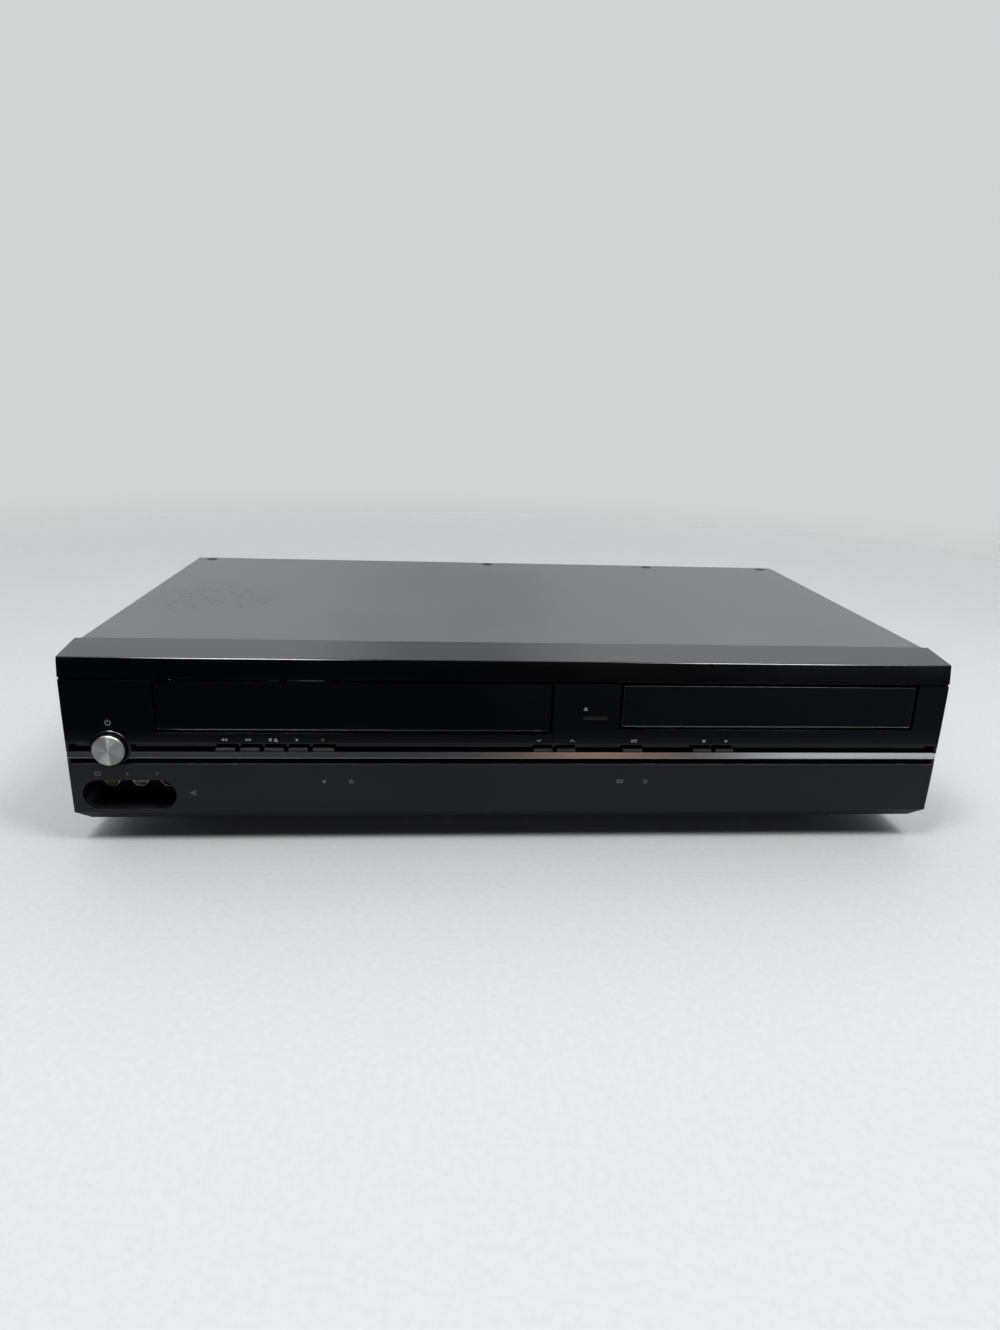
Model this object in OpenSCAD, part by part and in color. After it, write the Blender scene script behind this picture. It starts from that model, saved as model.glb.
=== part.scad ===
// Combined video cassette recorder and disc player: a steel case with a moulded fascia, a front-loading
// cassette deck on the left and a disc loader with a sliding tray on the right.
// Origin: bottom centre of the bounding box, +Z up. The fascia faces -Y, and the rear sockets face +Y.
// Inside the modules y is the depth behind the fascia's top front edge, and at_case() moves it into place.

/* [Case] */
// Width over the fascia
body_w = 435; // [430:1:530]
// Depth from the fascia's top front edge to the rear edge of the cover
body_d = 237; // [236:1:290]
// Height from the table to the deck
body_h = 99.5; // [99:0.5:121]
// Step from the fascia's side in to the cover's side
cover_step = 2.2; // [1.8:0.1:5]
// Sheet thickness of the cover
cover_t = 0.8; // [0.6:0.1:1.2]
// Sheet thickness of the base
base_t = 1.2; // [0.8:0.1:1.6]
// Height of the feet under the base
foot_h = 11.3; // [9:0.1:14]
// Radius of a foot where it meets the base
foot_r = 15; // [12:0.5:20]
// Thickness of the rear panel
rear_t = 2; // [1.5:0.1:3]

/* [Fascia] */
// Depth of the fascia, from its top front edge to the seam with the cover
seam_d = 22.7; // [18:0.1:28]
// Wall of the fascia mouldings
wall = 2; // [1.6:0.1:2.4]
// Radius of the fascia's upright corners
corner_r = 1; // [0.6:0.1:4]
// Fall of the fascia's top strip from the seam to its front edge
strip_fall = 2.7; // [2:0.1:4]
// Height of the top band, from the front edge down to the groove
band_h = 9.5; // [8:0.1:11]
// Height of the groove under the band
groove_h = 1.3; // [1:0.1:2]
// Depth of the groove
groove_d = 2; // [1:0.1:2.4]
// Height of the glossy face under the cassette door's opening, down to the rolled edge
door_under = 5; // [3:0.1:6]
// Radius of the rolled edge under the glossy face
roll_r = 1.2; // [0.8:0.1:2]
// Height of the channel that holds the small buttons
channel_h = 4; // [3:0.1:5]
// Height of the bright trim strip
trim_h = 3.1; // [2:0.1:5]
// Height of the dark gap under the trim strip
gap_h = 3; // [1:0.1:3.6]
// Height of the bevel round the foot of the lower panel
bevel_h = 4.9; // [3:0.1:7]
// How far the bevel runs in at each side
bevel_side = 7.5; // [3:0.1:9]

/* [Doors] */
// Width of the cassette door
door_w = 189; // [188.5:0.5:194]
// Height of the cassette door
door_h = 24.2; // [24:0.1:26]
// Left edge of the cassette door, from the fascia's left side
door_left = 43.5; // [37:0.5:60]
// Thickness of both doors
door_t = 2; // [1.6:0.1:2.6]
// Gap beside and under both doors
door_gap = 1.5; // [0.8:0.1:2]
// Radius of the cassette door's hinge pins
door_pin_r = 1.2; // [1:0.1:1.5]
// Width of the disc tray's door
tray_door_w = 149.5; // [148:0.5:156]
// Height of the disc tray's door
tray_door_h = 21.3; // [21:0.1:23]
// Right edge of the disc tray's door, from the fascia's right side
tray_door_right = 17; // [14:0.5:30]

/* [Buttons] */
// Width of a small button
button_w = 9.3; // [7:0.1:10]
// Height of a small button's front
button_h = 1.8; // [1.4:0.1:3]
// Gap between two buttons of one group
button_gap = 2.3; // [2:0.1:4]
// Gap round a button in its opening
button_slack = 0.35; // [0.2:0.05:0.5]
// Travel of a button
button_travel = 0.8; // [0.4:0.1:1.2]
// Radius of the power button
power_r = 7.5; // [6:0.1:8]
// Outer radius of the collar round the power button
collar_r = 9.4; // [9.2:0.1:10.6]
// Centre of the power button, from the fascia's left side
power_x = 20.8; // [18:0.1:24]
// How far the power button stands out of its collar
power_out = 3.4; // [2:0.1:4]

/* [Sockets] */
// Radius of a phono socket's metal shell
phono_r = 4.15; // [4.1:0.05:4.2]
// Distance between phono sockets
phono_pitch = 14; // [13:0.5:15]
// Radius of an aerial socket's barrel
aerial_r = 4.76; // [4.7:0.01:4.8]
// How far the front sockets stand out of their housing
jack_out = 5.5; // [5:0.5:7]
// How far the rear sockets stand out behind the cover's rear edge
socket_out = 7.5; // [6:0.5:10]
// Recess for the front sockets, from the outer sockets' axes to its ends
recess_end = 8.3; // [7.5:0.1:9]
// Height of the recess for the front sockets
recess_h = 16.2; // [14:0.1:17]

/* [Cassette deck] */
// Width of a tape cassette
tape_w = 188; // [188:0.5:190]
// Height of a tape cassette
tape_h = 25; // [24.8:0.1:25.2]
// Depth of the cassette holder
holder_l = 50; // [44:1:56]
// Travel of the cassette holder on its way in
holder_travel = 60; // [50:1:62]
// Radius of the head drum
drum_r = 31; // [29:0.5:32]
// Tilt of the head drum, in degrees
drum_tilt = 5; // [3:0.5:6]
// Distance between the reel tables
reel_pitch = 92; // [88:0.5:94]
// Radius of a reel table
reel_r = 17; // [14:0.5:19]
// Radius of the capstan shaft
capstan_r = 2; // [1.5:0.1:2.5]
// Radius of the pinch roller
roller_r = 8; // [6:0.5:9]
// Travel of a tape guide along its slot
guide_travel = 66; // [50:1:67]

/* [Disc loader] */
// Diameter of a disc
disc_d = 120; // [118:1:122]
// Travel of the disc tray
tray_travel = 135; // [120:1:138]
// Module of the tray's rack and gear
gear_m = 1; // [0.8:0.1:1]
// Teeth of the tray gear
gear_z = 20; // [18:1:21]
// Radius of the turntable under the disc
table_r = 13; // [11:0.5:15]
// Angle that the traverse is lowered by, in degrees
traverse_tilt = 5; // [4:0.5:5]

/* [Hidden] */
$fn = 48;
eps = 0.01;
fit = 0.05;          // radial clearance of a running fit
slip = 0.3;          // gap beside sliding pieces

// Case, as depth behind the fascia's top front edge (y) and height over the table (z)
face_out = 2.2;      // how far the fascia's face stands in front of its top edge
power_front = -face_out - power_out;
rear_reach = body_d + socket_out;
edge_y = -(power_front + rear_reach) / 2;
half_w = body_w / 2;
cover_half = half_w - cover_step;
base_top = foot_h + base_t;
rear_y = body_d - 1.5 - rear_t;      // inner face of the rear panel

// Heights of the fascia's lines, from the deck down
edge_z = body_h - strip_fall;
band_z = edge_z - band_h;
face_top = band_z - groove_h;
door_top_gap = 0.5;                  // gap over the cassette door
face_h = door_top_gap + door_h + door_gap + door_under;
face_bot = face_top - face_h;
roll_z = face_bot - roll_r;
trim_top = roll_z - channel_h;
trim_bot = trim_top - trim_h;
low_top = trim_bot - gap_h;
low_bot = base_top;
bevel_z = low_bot + bevel_h;
channel_y = 2.2;                     // depth of the button channel's back wall

// Cassette door and its hinge
door_x = -half_w + door_left + door_w / 2;
door_top = face_top - door_top_gap;
door_bot = door_top - door_h;
hinge_y = channel_y + 0.5;
hinge_z = door_top + 5.2;
tape_z = door_bot - door_gap + 0.6;  // underside of a cassette on its way in

// Disc tray
tray_x = half_w - tray_door_right - tray_door_w / 2;
tray_top = face_top - 0.8;
tray_bot = tray_top - tray_door_h;
rack_h = 4;
tray_z = tray_bot + rack_h - 0.6;    // underside of the tray
tray_t = 6;
tray_w = disc_d + 16;
disc_y = 8 + disc_d / 2 + 2;
tray_rear = disc_y + disc_d / 2 + 42;
slot_w = 38;

// Cassette deck
deck_z = tape_z - 27.5;              // underside of the deck plate
deck_t = 1.2;
deck_top = deck_z + deck_t;
holder_t = 0.8;
holder_half = tape_w / 2 + 0.6 + holder_t;
side_half = holder_half + 0.8;
side_t = 1.2;
holder_y = door_h + 10.8;            // the door swings up in front of the holder
deck_front = holder_y - 7;
drum_y = holder_y + holder_l + holder_travel + drum_r + 2;
deck_rear = drum_y + drum_r + 5;
reel_y = holder_y + holder_l + holder_travel - 62;
capstan_x = door_x + 52;
capstan_y = drum_y - drum_r + 3;

// Places of the small buttons, from the fascia's left side
button_pitch = button_w + button_gap;
record_extra = 1.2;                  // extra width of the record button
rewind_x = 74.5;
forward_x = rewind_x + button_pitch;
eject_x = forward_x + button_pitch;
play_x = eject_x + button_pitch;
record_x = play_x + button_pitch + record_extra / 2;
down_x = 230;
up_x = down_x + button_pitch;
// Places of the disc buttons, from the fascia's right side
source_x = 159.6;
disc_play_x = 112.3;
disc_stop_x = disc_play_x + button_pitch;
open_x = 180.0;
open_w = 12.1;
open_h = 2;
board_y = 13;                        // front of the key board
board_t = 1.6;
switch_y = board_y - 4;              // front of the switches' plungers

// --- Helpers -------------------------------------------------------------------------------------

// Moves a piece drawn by depth behind the fascia's top front edge into the case's frame
module at_case() translate([0, edge_y, 0]) children();

// Carries a (depth, height) profile along X
module along_x(x0, x1) translate([x0, 0, 0]) rotate([90, 0, 90]) linear_extrude(x1 - x0) children();

// Carries an (x, height) profile along the depth
module along_y(y0, y1) translate([0, y1, 0]) rotate([90, 0, 0]) linear_extrude(y1 - y0) children();

// Box between two corners
module box(a, b) translate(a) cube(b - a);

// Round bars along Y and X
module bar_y(x, z, r, y0, y1) translate([x, y1, z]) rotate([90, 0, 0]) cylinder(r = r, h = y1 - y0);
module bar_x(y, z, r, x0, x1) translate([x0, y, z]) rotate([0, 90, 0]) cylinder(r = r, h = x1 - x0);

// Rectangle between x0 and x1 with all four corners rounded
module round_rect(x0, y0, x1, y1, r) {
    translate([x0 + r, y0]) square([x1 - x0 - 2 * r, y1 - y0]);
    translate([x0, y0 + r]) square([x1 - x0, y1 - y0 - 2 * r]);
    for (x = [x0 + r, x1 - r], y = [y0 + r, y1 - r]) translate([x, y]) circle(r);
}

// Slot with round ends, w over all
module stadium(w, h) {
    square([w - h, h], center = true);
    for (s = [-1, 1]) translate([s * (w - h) / 2, 0]) circle(h / 2);
}

// Depth of the fascia's glossy face at height z
function face_y(z) = -1.3 - (face_out - 1.3) * (face_top - z) / face_h;

// Flank of an involute tooth: radius and half angle at radius r, base radius rb, half angle at rb h
function flank(rb, r, h) = let (a = acos(min(1, rb / r))) h - (tan(a) * 180 / PI - a);
function tooth_point(r, a) = [r * cos(a), r * sin(a)];

// Outline of a spur gear with involute flanks, module m, n teeth, backlash taken off the thickness
function gear_outline(m, n, backlash) = let (
    rp = m * n / 2,
    rb = rp * cos(20),
    rr = rp - 1.2 * m,
    ra = rp + 0.9 * m,
    half = 90 / n - backlash / rp * 90 / PI,
    base_half = half + (tan(20) * 180 / PI - 20),
    r1 = max(rb, rr),
    rows = [for (k = [0:3]) r1 + (ra - r1) * k / 3]
) [for (t = [0:n - 1]) let (c = t * 360 / n) each concat(
    [tooth_point(rr, c - base_half)],
    [for (r = rows) tooth_point(r, c - flank(rb, r, base_half))],
    [for (k = [3:-1:0]) tooth_point(rows[k], c + flank(rb, rows[k], base_half))],
    [tooth_point(rr, c + base_half)])];

// --- Case ----------------------------------------------------------------------------------------

// Plan of the fascia, whose front corners are rounded
module fascia_plan() {
    front = -face_out - 0.3;
    flat = half_w - corner_r;
    translate([-flat, front]) square([2 * flat, seam_d - front]);
    translate([-half_w, front + corner_r]) square([body_w, seam_d - front - corner_r]);
    for (s = [-1, 1]) translate([s * flat, front + corner_r]) circle(corner_r);
}

// Side profile of the upper moulding: top strip, band, groove, face, rolled edge and button channel
module upper_profile() {
    roll = [for (a = [0:10:90]) [roll_r - face_out - roll_r * cos(a), face_bot - roll_r * sin(a)]];
    nose = [for (a = [0:15:90]) [1.2 - 1.2 * sin(a), edge_z - 1 + 1.1 * cos(a)]];
    polygon(concat([[seam_d, body_h]], nose, [[-1.4, band_z], [-1.4 + groove_d, band_z],
        [-1.4 + groove_d, face_top], [-1.3, face_top]], roll, [[channel_y, roll_z], [channel_y, low_top],
        [seam_d, low_top]]));
}

// Hollow behind the upper moulding's front wall
module upper_hollow() {
    b = channel_y + wall;
    polygon([[seam_d + 1, body_h - wall], [3.4, edge_z - wall + 0.2], [1.6, edge_z - wall - 0.8],
        [0.8, band_z + 1.5], [groove_d + 0.6, band_z + 1.1], [groove_d + 0.6, face_top - 1],
        [0.9, face_top - wall], [0.1, face_bot + 1], [b, roll_z + 0.8], [b, low_top - 1],
        [seam_d + 1, low_top - 1]]);
}

module front_panel() color("#0c0d10") at_case() difference() {
    union() {
        intersection() {
            union() {
                difference() {
                    along_x(-half_w, half_w) upper_profile();
                    along_x(-half_w + cover_step + 0.2, half_w - cover_step - 0.2) upper_hollow();
                }
                end_walls();
            }
            linear_extrude(body_h + 1) fascia_plan();
        }
        hinge_bosses();
        upper_ribs();
    }
    door_openings();
    groove_sides();
    button_holes();
    bar_y(power_centre_x(), power_z(), collar_r + fit, -20, 20);
}

// Walls that close the ends of the groove, of the button channel and of the gap under the trim,
// each a little behind what is above and below it
end_t = 1.6;
module end_walls() {
    for (s = [-1, 1], row = [[face_top, band_z, -1], [trim_top, roll_z + 0.5, 0.4 - face_out],
        [low_top, trim_bot, -1.6]])
        translate([s * (half_w - end_t / 2), 0, 0])
            box([-end_t / 2, row[2], row[0]], [end_t / 2, channel_y + 0.5, row[1]]);
}

// Bearings of the cassette door's hinge pins, moulded to the back of the band
module hinge_bosses() {
    for (s = [-1, 1]) {
        x = door_x + s * (door_w / 2 + 1.85);
        difference() {
            box([x - 1.5, 0.6, hinge_z - 4], [x + 1.5, hinge_y + 3, edge_z - 1]);
            bar_x(hinge_y, hinge_z, door_pin_r + fit, x - 2, x + 2);
        }
    }
}

// Stiffening ribs under the top strip
module upper_ribs() {
    for (x = [-half_w + 20, door_x + door_w / 2 + 18, half_w - 10])
        box([x - 0.8, 2, edge_z - 6], [x + 0.8, seam_d - 6.5, edge_z + 0.1]);
}

// Openings of the cassette door and of the tray's door
module door_openings() {
    box([door_x - door_w / 2 - door_gap, -9, door_bot - door_gap],
        [door_x + door_w / 2 + door_gap, 9, face_top]);
    box([tray_x - tray_door_w / 2 - door_gap, -9, tray_bot - door_gap],
        [tray_x + tray_door_w / 2 + door_gap, 9, face_top]);
}

// The groove under the band carries on round both sides
module groove_sides() {
    for (s = [-1, 1]) translate([s * half_w, 0, 0])
        box([-0.4, -9, face_top], [0.4, seam_d + 1, band_z]);
}

// Small buttons: place, width and height of each
function left_x(x) = -half_w + x;
function right_x(x) = half_w - x;
function power_centre_x() = left_x(power_x);
function power_z() = trim_top + 2;
function small_buttons() = [[left_x(rewind_x), button_w], [left_x(forward_x), button_w],
    [left_x(eject_x), button_w], [left_x(play_x), button_w], [left_x(record_x), button_w + record_extra],
    [left_x(down_x), button_w], [left_x(up_x), button_w], [right_x(source_x), button_w + 0.8],
    [right_x(disc_stop_x), button_w], [right_x(disc_play_x), button_w]];
button_bot = trim_top + 0.2;
button_top = button_bot + button_h;
notch_top = roll_z + 0.6;            // top of the notches for the buttons in the rolled edge
open_z = face_bot + 13.8;

module button_holes() {
    for (b = small_buttons())
        box([b[0] - b[1] / 2 - button_slack / 2, -9, button_bot - 0.1],
            [b[0] + b[1] / 2 + button_slack / 2, 9, notch_top]);
    open_half = [open_w + button_slack, open_h + button_slack] / 2;
    box([right_x(open_x) - open_half[0], -9, open_z - open_half[1]],
        [right_x(open_x) + open_half[0], 9, open_z + open_half[1]]);
}

module lower_profile(inset) {
    back = seam_d + inset;
    polygon([[-2 + inset, low_top - inset], [-1.5 + inset, bevel_z + inset / 2],
        [2.5 + inset, low_bot + inset], [back, low_bot + inset], [back, low_top - inset]]);
}

// Front view of the lower moulding, with its lower corners cut off
module lower_front(inset) {
    w = half_w - inset;
    polygon([[-w, low_top + 1], [-w, bevel_z], [-w + bevel_side, low_bot - 1 + inset],
        [w - bevel_side, low_bot - 1 + inset], [w, bevel_z], [w, low_top + 1]]);
}

recess_w = 2 * phono_pitch + 2 * recess_end;
recess_x = left_x(cover_step + 2.8 + recess_w / 2);
recess_z = low_bot + 14.2;
recess_t = 1.4;                      // wall of the sleeve round the recess
front_jack_z = recess_z + 1.3;
jack_front = seam_d - 8.7;           // depth of the front sockets' mouths
jack_face = jack_front + jack_out;   // faces of the housing's bosses
jack_back = jack_face + 0.8;         // front of the housing, which closes the sleeve

module lower_panel() color("#1d1f22") at_case() difference() {
    union() {
        intersection() {
            difference() {
                along_x(-half_w, half_w) lower_profile(0);
                intersection() {
                    along_x(-half_w + cover_step + 0.2, half_w - cover_step - 0.2) lower_profile(wall);
                    along_y(-9, seam_d + 9) lower_front(cover_step + 0.2);
                }
            }
            linear_extrude(body_h) fascia_plan();
            along_y(-9, seam_d + 9) lower_front(0);
        }
        recess_wall(recess_w + 2 * recess_t, recess_h + 2 * recess_t, 0, jack_back);
    }
    recess_wall(recess_w, recess_h, -9, jack_back + 1);
    bar_y(power_centre_x(), power_z(), collar_r + fit, -20, 20);
}

// Sleeve round the front sockets, from depth y0 to y1
module recess_wall(w, h, y0, y1) {
    translate([recess_x, 0, recess_z]) along_y(y0, y1) stadium(w, h);
}

// Bright strip under the button channel, whose front leans back
module trim_strip() color("#a8a9ab") at_case() difference() {
    intersection() {
        along_x(-half_w, half_w) polygon([[-1.9, trim_bot], [-1.9, trim_bot + 0.2], [-1.2, trim_top],
            [channel_y, trim_top], [channel_y, trim_bot]]);
        linear_extrude(body_h) fascia_plan();
    }
    bar_y(power_centre_x(), power_z(), collar_r + fit, -20, 20);
}

module power_collar() color("#0b0b0d") at_case() translate([power_centre_x(), 0, power_z()])
    rotate([90, 0, 0]) rotate_extrude() polygon([[power_r + 0.35, -8], [collar_r, -8],
        [collar_r, 1.5], [collar_r - 0.6, face_out],
        [power_r + 0.9, face_out], [power_r + 0.35, 1.2]]);

// The power button's moulded body ends in a spun metal disc
cap_t = 1;

module power_button() color("#111214") at_case() translate([power_centre_x(), 0, power_z()]) {
    rotate([90, 0, 0]) rotate_extrude() polygon([[0, -9], [power_r + 0.9, -9], [power_r + 0.9, -8.1],
        [power_r, -8.1], [power_r, -power_front - cap_t], [0, -power_front - cap_t]]);
    bar_y(0, 0, 1.6, 0, switch_y);
}

module power_cap() color("#b4b6b8") at_case() translate([power_centre_x(), power_front + cap_t, power_z()])
    rotate([90, 0, 0]) rotate_extrude() polygon([[0, 0], [power_r, 0], [power_r, cap_t - 0.35],
        [power_r - 0.1, cap_t - 0.1], [power_r - 0.35, cap_t], [0, cap_t - 0.15]]);

// Push button: a cap with a sloping upper half, a flange behind the panel and a stem to its switch
module small_button(x, w) color("#101114") at_case() {
    mid = (button_top + button_bot) / 2;
    along_x(x - w / 2, x + w / 2) polygon([[5, button_bot], [-1.5, button_bot], [-1.7, mid],
        [-0.9, mid + 0.35], [-0.4, button_top], [5, button_top]]);
    box([x - w / 2 - 0.8, channel_y + wall + 0.1, button_bot - 0.9],
        [x + w / 2 + 0.8, channel_y + wall + 1.1, notch_top + 0.6]);
    bar_y(x, mid, 1.2, channel_y + wall + 0.1, switch_y);
}

module rewind_button() small_button(small_buttons()[0][0], small_buttons()[0][1]);
module fast_forward_button() small_button(small_buttons()[1][0], small_buttons()[1][1]);
module stop_eject_button() small_button(small_buttons()[2][0], small_buttons()[2][1]);
module play_button() small_button(small_buttons()[3][0], small_buttons()[3][1]);
module record_button() small_button(small_buttons()[4][0], small_buttons()[4][1]);
module channel_down_button() small_button(small_buttons()[5][0], small_buttons()[5][1]);
module channel_up_button() small_button(small_buttons()[6][0], small_buttons()[6][1]);
module source_button() small_button(small_buttons()[7][0], small_buttons()[7][1]);
module disc_stop_button() small_button(small_buttons()[8][0], small_buttons()[8][1]);
module disc_play_button() small_button(small_buttons()[9][0], small_buttons()[9][1]);

module open_close_button() color("#101114") at_case() {
    x = right_x(open_x);
    along_x(x - open_w / 2, x + open_w / 2) polygon([[4, open_z - open_h / 2], [-2.3, open_z - open_h / 2],
        [-2.6, open_z], [-2.3, open_z + open_h / 2], [4, open_z + open_h / 2]]);
    box([x - open_w / 2 - 1, 3, open_z - 2.4], [x + open_w / 2 + 1, 4, open_z + 2.4]);
    bar_y(x, open_z, 1.2, 4, switch_y);
}

module cassette_door() color("#08090b") at_case() {
    x0 = door_x - door_w / 2;
    x1 = door_x + door_w / 2;
    // Panel that follows the face, with a lip along its lower edge and a rib behind
    along_x(x0, x1) polygon([[face_y(door_top), door_top], [face_y(door_bot), door_bot + 0.8],
        [face_y(door_bot) + 0.5, door_bot], [face_y(door_bot) + door_t, door_bot],
        [face_y(door_top) + door_t, door_top]]);
    for (s = [-1, 1]) {
        xe = door_x + s * door_w / 2;
        a = s > 0 ? xe - 2 : xe;
        // Arm that reaches back and up to the hinge
        along_x(a, a + 2) {
            polygon([[face_y(door_top) + door_t - 0.5, door_top - 6], [4.6, door_top - 4.5], [4.6, hinge_z],
                [hinge_y + 0.6, hinge_z], [hinge_y + 0.6, door_top - 2.4],
                [face_y(door_top) + door_t - 0.5, door_top - 3]]);
            translate([hinge_y, hinge_z]) circle(1.5);
        }
        bar_x(hinge_y, hinge_z, door_pin_r, min(xe - s * 2, xe + s * 3.2), max(xe - s * 2, xe + s * 3.2));
    }
}

lip_drop = 3.4;
lip_l = 6;
cover_y = seam_d + 0.2;              // front edge of the cover, behind a narrow seam
bend_r = 0.5;                        // inner radius of the cover's bends

// Profile of the cover's joggled lip, which goes in under the fascia's top strip
module cover_lip() polygon([[seam_d - lip_l, body_h - lip_drop], [cover_y, body_h - lip_drop],
    [cover_y, body_h - cover_t / 2], [cover_y + cover_t, body_h - cover_t / 2],
    [cover_y + cover_t, body_h - lip_drop - cover_t], [seam_d - lip_l, body_h - lip_drop - cover_t]]);

module top_cover() color("#55575b") at_case() difference() {
    union() {
        along_y(cover_y, body_d) difference() {
            round_rect(-cover_half, 0, cover_half, body_h, bend_r + cover_t);
            round_rect(-cover_half + cover_t, -9, cover_half - cover_t, body_h - cover_t, bend_r);
            translate([-half_w, -9]) square([body_w, foot_h + 9.7]);
        }
        along_x(-cover_half + 8, cover_half - 8) cover_lip();
        for (x = screw_places()) translate([x, screw_y, body_h - dimple - cover_t])
            cylinder(r = dimple_r + 0.8, h = dimple + cover_t);
    }
    for (x = screw_places()) {
        translate([x, screw_y, body_h - dimple]) cylinder(r = dimple_r, h = 5);
        translate([x, screw_y, 0]) cylinder(r = 1.8, h = body_h + 1);
    }
    for (y = [body_d - 90:8:body_d - 26]) translate([0, y, 0]) side_slot();
}

// Pair of cooling slots, one in each side of the cover
module side_slot() translate([0, 0, base_top + 26]) along_x(-half_w, half_w) rotate(90) stadium(22, 3);

// Four screws through the cover's rear edge and three through the rear panel
screw_y = body_d - 6;
screw_r = 1.45;
head_r = 2.9;
dimple = 1.2;
dimple_r = 3.7;
function screw_places() = [-cover_half + 11, left_x(213.5), right_x(101.7), cover_half - 11];
function rear_screws() = [-cover_half + 12, 12, cover_half - 12];
rear_screw_z = base_top + 8;

module screw() {
    translate([0, 0, eps]) cylinder(r = head_r, h = 0.8);
    cylinder(r1 = head_r, r2 = head_r - 0.6, h = 1.1);
    translate([0, 0, -6]) cylinder(r = screw_r, h = 6.2);
}

module case_screws() color("#17181a") at_case() {
    for (x = screw_places()) translate([x, screw_y, body_h - dimple]) difference() {
        screw();
        translate([0, 0, 0.6]) driver_cross();
    }
    for (x = rear_screws()) translate([x, rear_y + rear_t, rear_screw_z]) rotate([-90, 0, 0])
        difference() {
            screw();
            translate([0, 0, 0.6]) driver_cross();
        }
}

module driver_cross() {
    cube([head_r, 0.7, 2], center = true);
    cube([0.7, head_r, 2], center = true);
}

module bottom_chassis() color("#8d9092") at_case() {
    w = cover_half - cover_t - 0.4;
    front = 12;
    h = 15;
    difference() {
        union() {
            box([-w, front, foot_h], [w, rear_y, base_top]);
            for (s = [-1, 1]) box([min(s * w, s * (w - base_t)), seam_d + 3, foot_h],
                [max(s * w, s * (w - base_t)), rear_y, base_top + h]);
            box([-w, rear_y - base_t, foot_h], [w, rear_y, base_top + 4]);
            for (x = rear_screws()) box([x - 6, rear_y - base_t, foot_h], [x + 6, rear_y, base_top + h]);
            pressed_ribs(0, base_top - eps, base_top + rib_h);
        }
        pressed_ribs(2 * base_t, foot_h - 1, foot_h + rib_h);
        for (x = rear_screws()) bar_y(x, rear_screw_z, screw_r + fit, rear_y - 3, rear_y + 1);
        vent_rows();
    }
}

rib_h = 1;

// Ribs pressed up into the base under the cassette deck
module pressed_ribs(inset, z0, z1) {
    for (y = [60:60:180]) translate([door_x, y, z0]) linear_extrude(z1 - z0)
        stadium(tape_w - 20 - inset, 10 - inset);
}

// Rows of cooling slots in the base, under the boards
module vent_rows() {
    for (x = [tray_x - 40:16:tray_x + 40], y = [70:34:body_d - 60])
        translate([x, y, 0]) linear_extrude(body_h / 2) rotate(90) stadium(24, 3.2);
}

module rear_panel() color("#1a1b1d") at_case() difference() {
    w = cover_half - cover_t - 0.3;
    top = body_h - cover_t - dimple;
    union() {
        box([-w, rear_y, base_top], [w, rear_y + rear_t, top]);
        box([-w, rear_y - 6, top - 2], [w, rear_y + rear_t, top]);
        for (x = screw_places()) translate([x, screw_y, top - 8]) cylinder(r = 4, h = 8);
    }
    for (x = screw_places()) translate([x, screw_y, 0]) cylinder(r = screw_r + fit, h = body_h);
    for (x = rear_screws()) bar_y(x, rear_screw_z, 1.8, rear_y - 1, rear_y + 9);
    for (p = rear_phonos()) bar_y(p[0], p[1], phono_r + 1.4, rear_y - 1, rear_y + 9);
    for (z = aerial_places()) bar_y(aerial_x(), z, aerial_r + 0.6, rear_y - 1, rear_y + 9);
    bar_y(svideo_x(), svideo_z(), 6.2, rear_y - 1, rear_y + 9);
    bar_y(bush_x(), bush_z(), 6.2, rear_y - 1, rear_y + 9);
    for (x = [left_x(60):8:left_x(150)]) translate([x, 0, 60]) along_y(rear_y - 1, rear_y + 9)
        rotate(90) stadium(30, 3);
}

// Rear sockets: places of the phono sockets as [x, z, colour]
function rear_row_z() = [base_top + 14, base_top + 14 + phono_pitch + 2];
function rear_x(k) = aerial_x() - 48.25 - (5 - k) * phono_pitch;
function rear_phonos() = [for (r = [0, 1], k = [0:5]) [rear_x(k), rear_row_z()[r], r * 6 + k]];
function aerial_x() = half_w - 36;
function aerial_places() = [base_top + 18, base_top + 40];
function svideo_x() = rear_x(6) + 6;
function svideo_z() = rear_row_z()[1];
svideo_r = 4.6;
function bush_x() = left_x(30);
function bush_z() = base_top + 18;

module feet() color("#141414") at_case() {
    for (x = [-cover_half + 45, cover_half - 45], y = [42, body_d - 34]) translate([x, y, 0]) {
        cylinder(r1 = foot_r - 2, r2 = foot_r - 1, h = 2);
        translate([0, 0, 2 - eps]) cylinder(r1 = foot_r - 1, r2 = foot_r, h = foot_h - 2 + eps);
    }
}

// --- Controls and sockets --------------------------------------------------------------------------

key_top = roll_z + 2;

module key_board() color("#3a2f1c") at_case() difference() {
    box([-half_w + 9, board_y, low_top + 1], [right_x(disc_play_x) + 16, board_y + board_t, key_top]);
    for (x = [-half_w + 40, tray_x]) bar_y(x, low_top + 4, 1.6, board_y - 1, board_y + 5);
}

// Tactile switches with their plungers; the highest stands on a tongue of its own above the board
module key_switches() color("#202124") at_case() {
    mid = (button_top + button_bot) / 2;
    for (b = small_buttons()) tact_switch(b[0], mid);
    tact_switch(power_centre_x(), power_z());
    difference() {
        x = right_x(open_x);
        box([x - 4, board_y, key_top + eps], [x + 4, board_y + board_t, open_z + 4]);
        bar_y(x + 2.5, open_z + 2.5, 0.6, board_y - 1, board_y + 5);
    }
    tact_switch(right_x(open_x), open_z);
}

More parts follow.
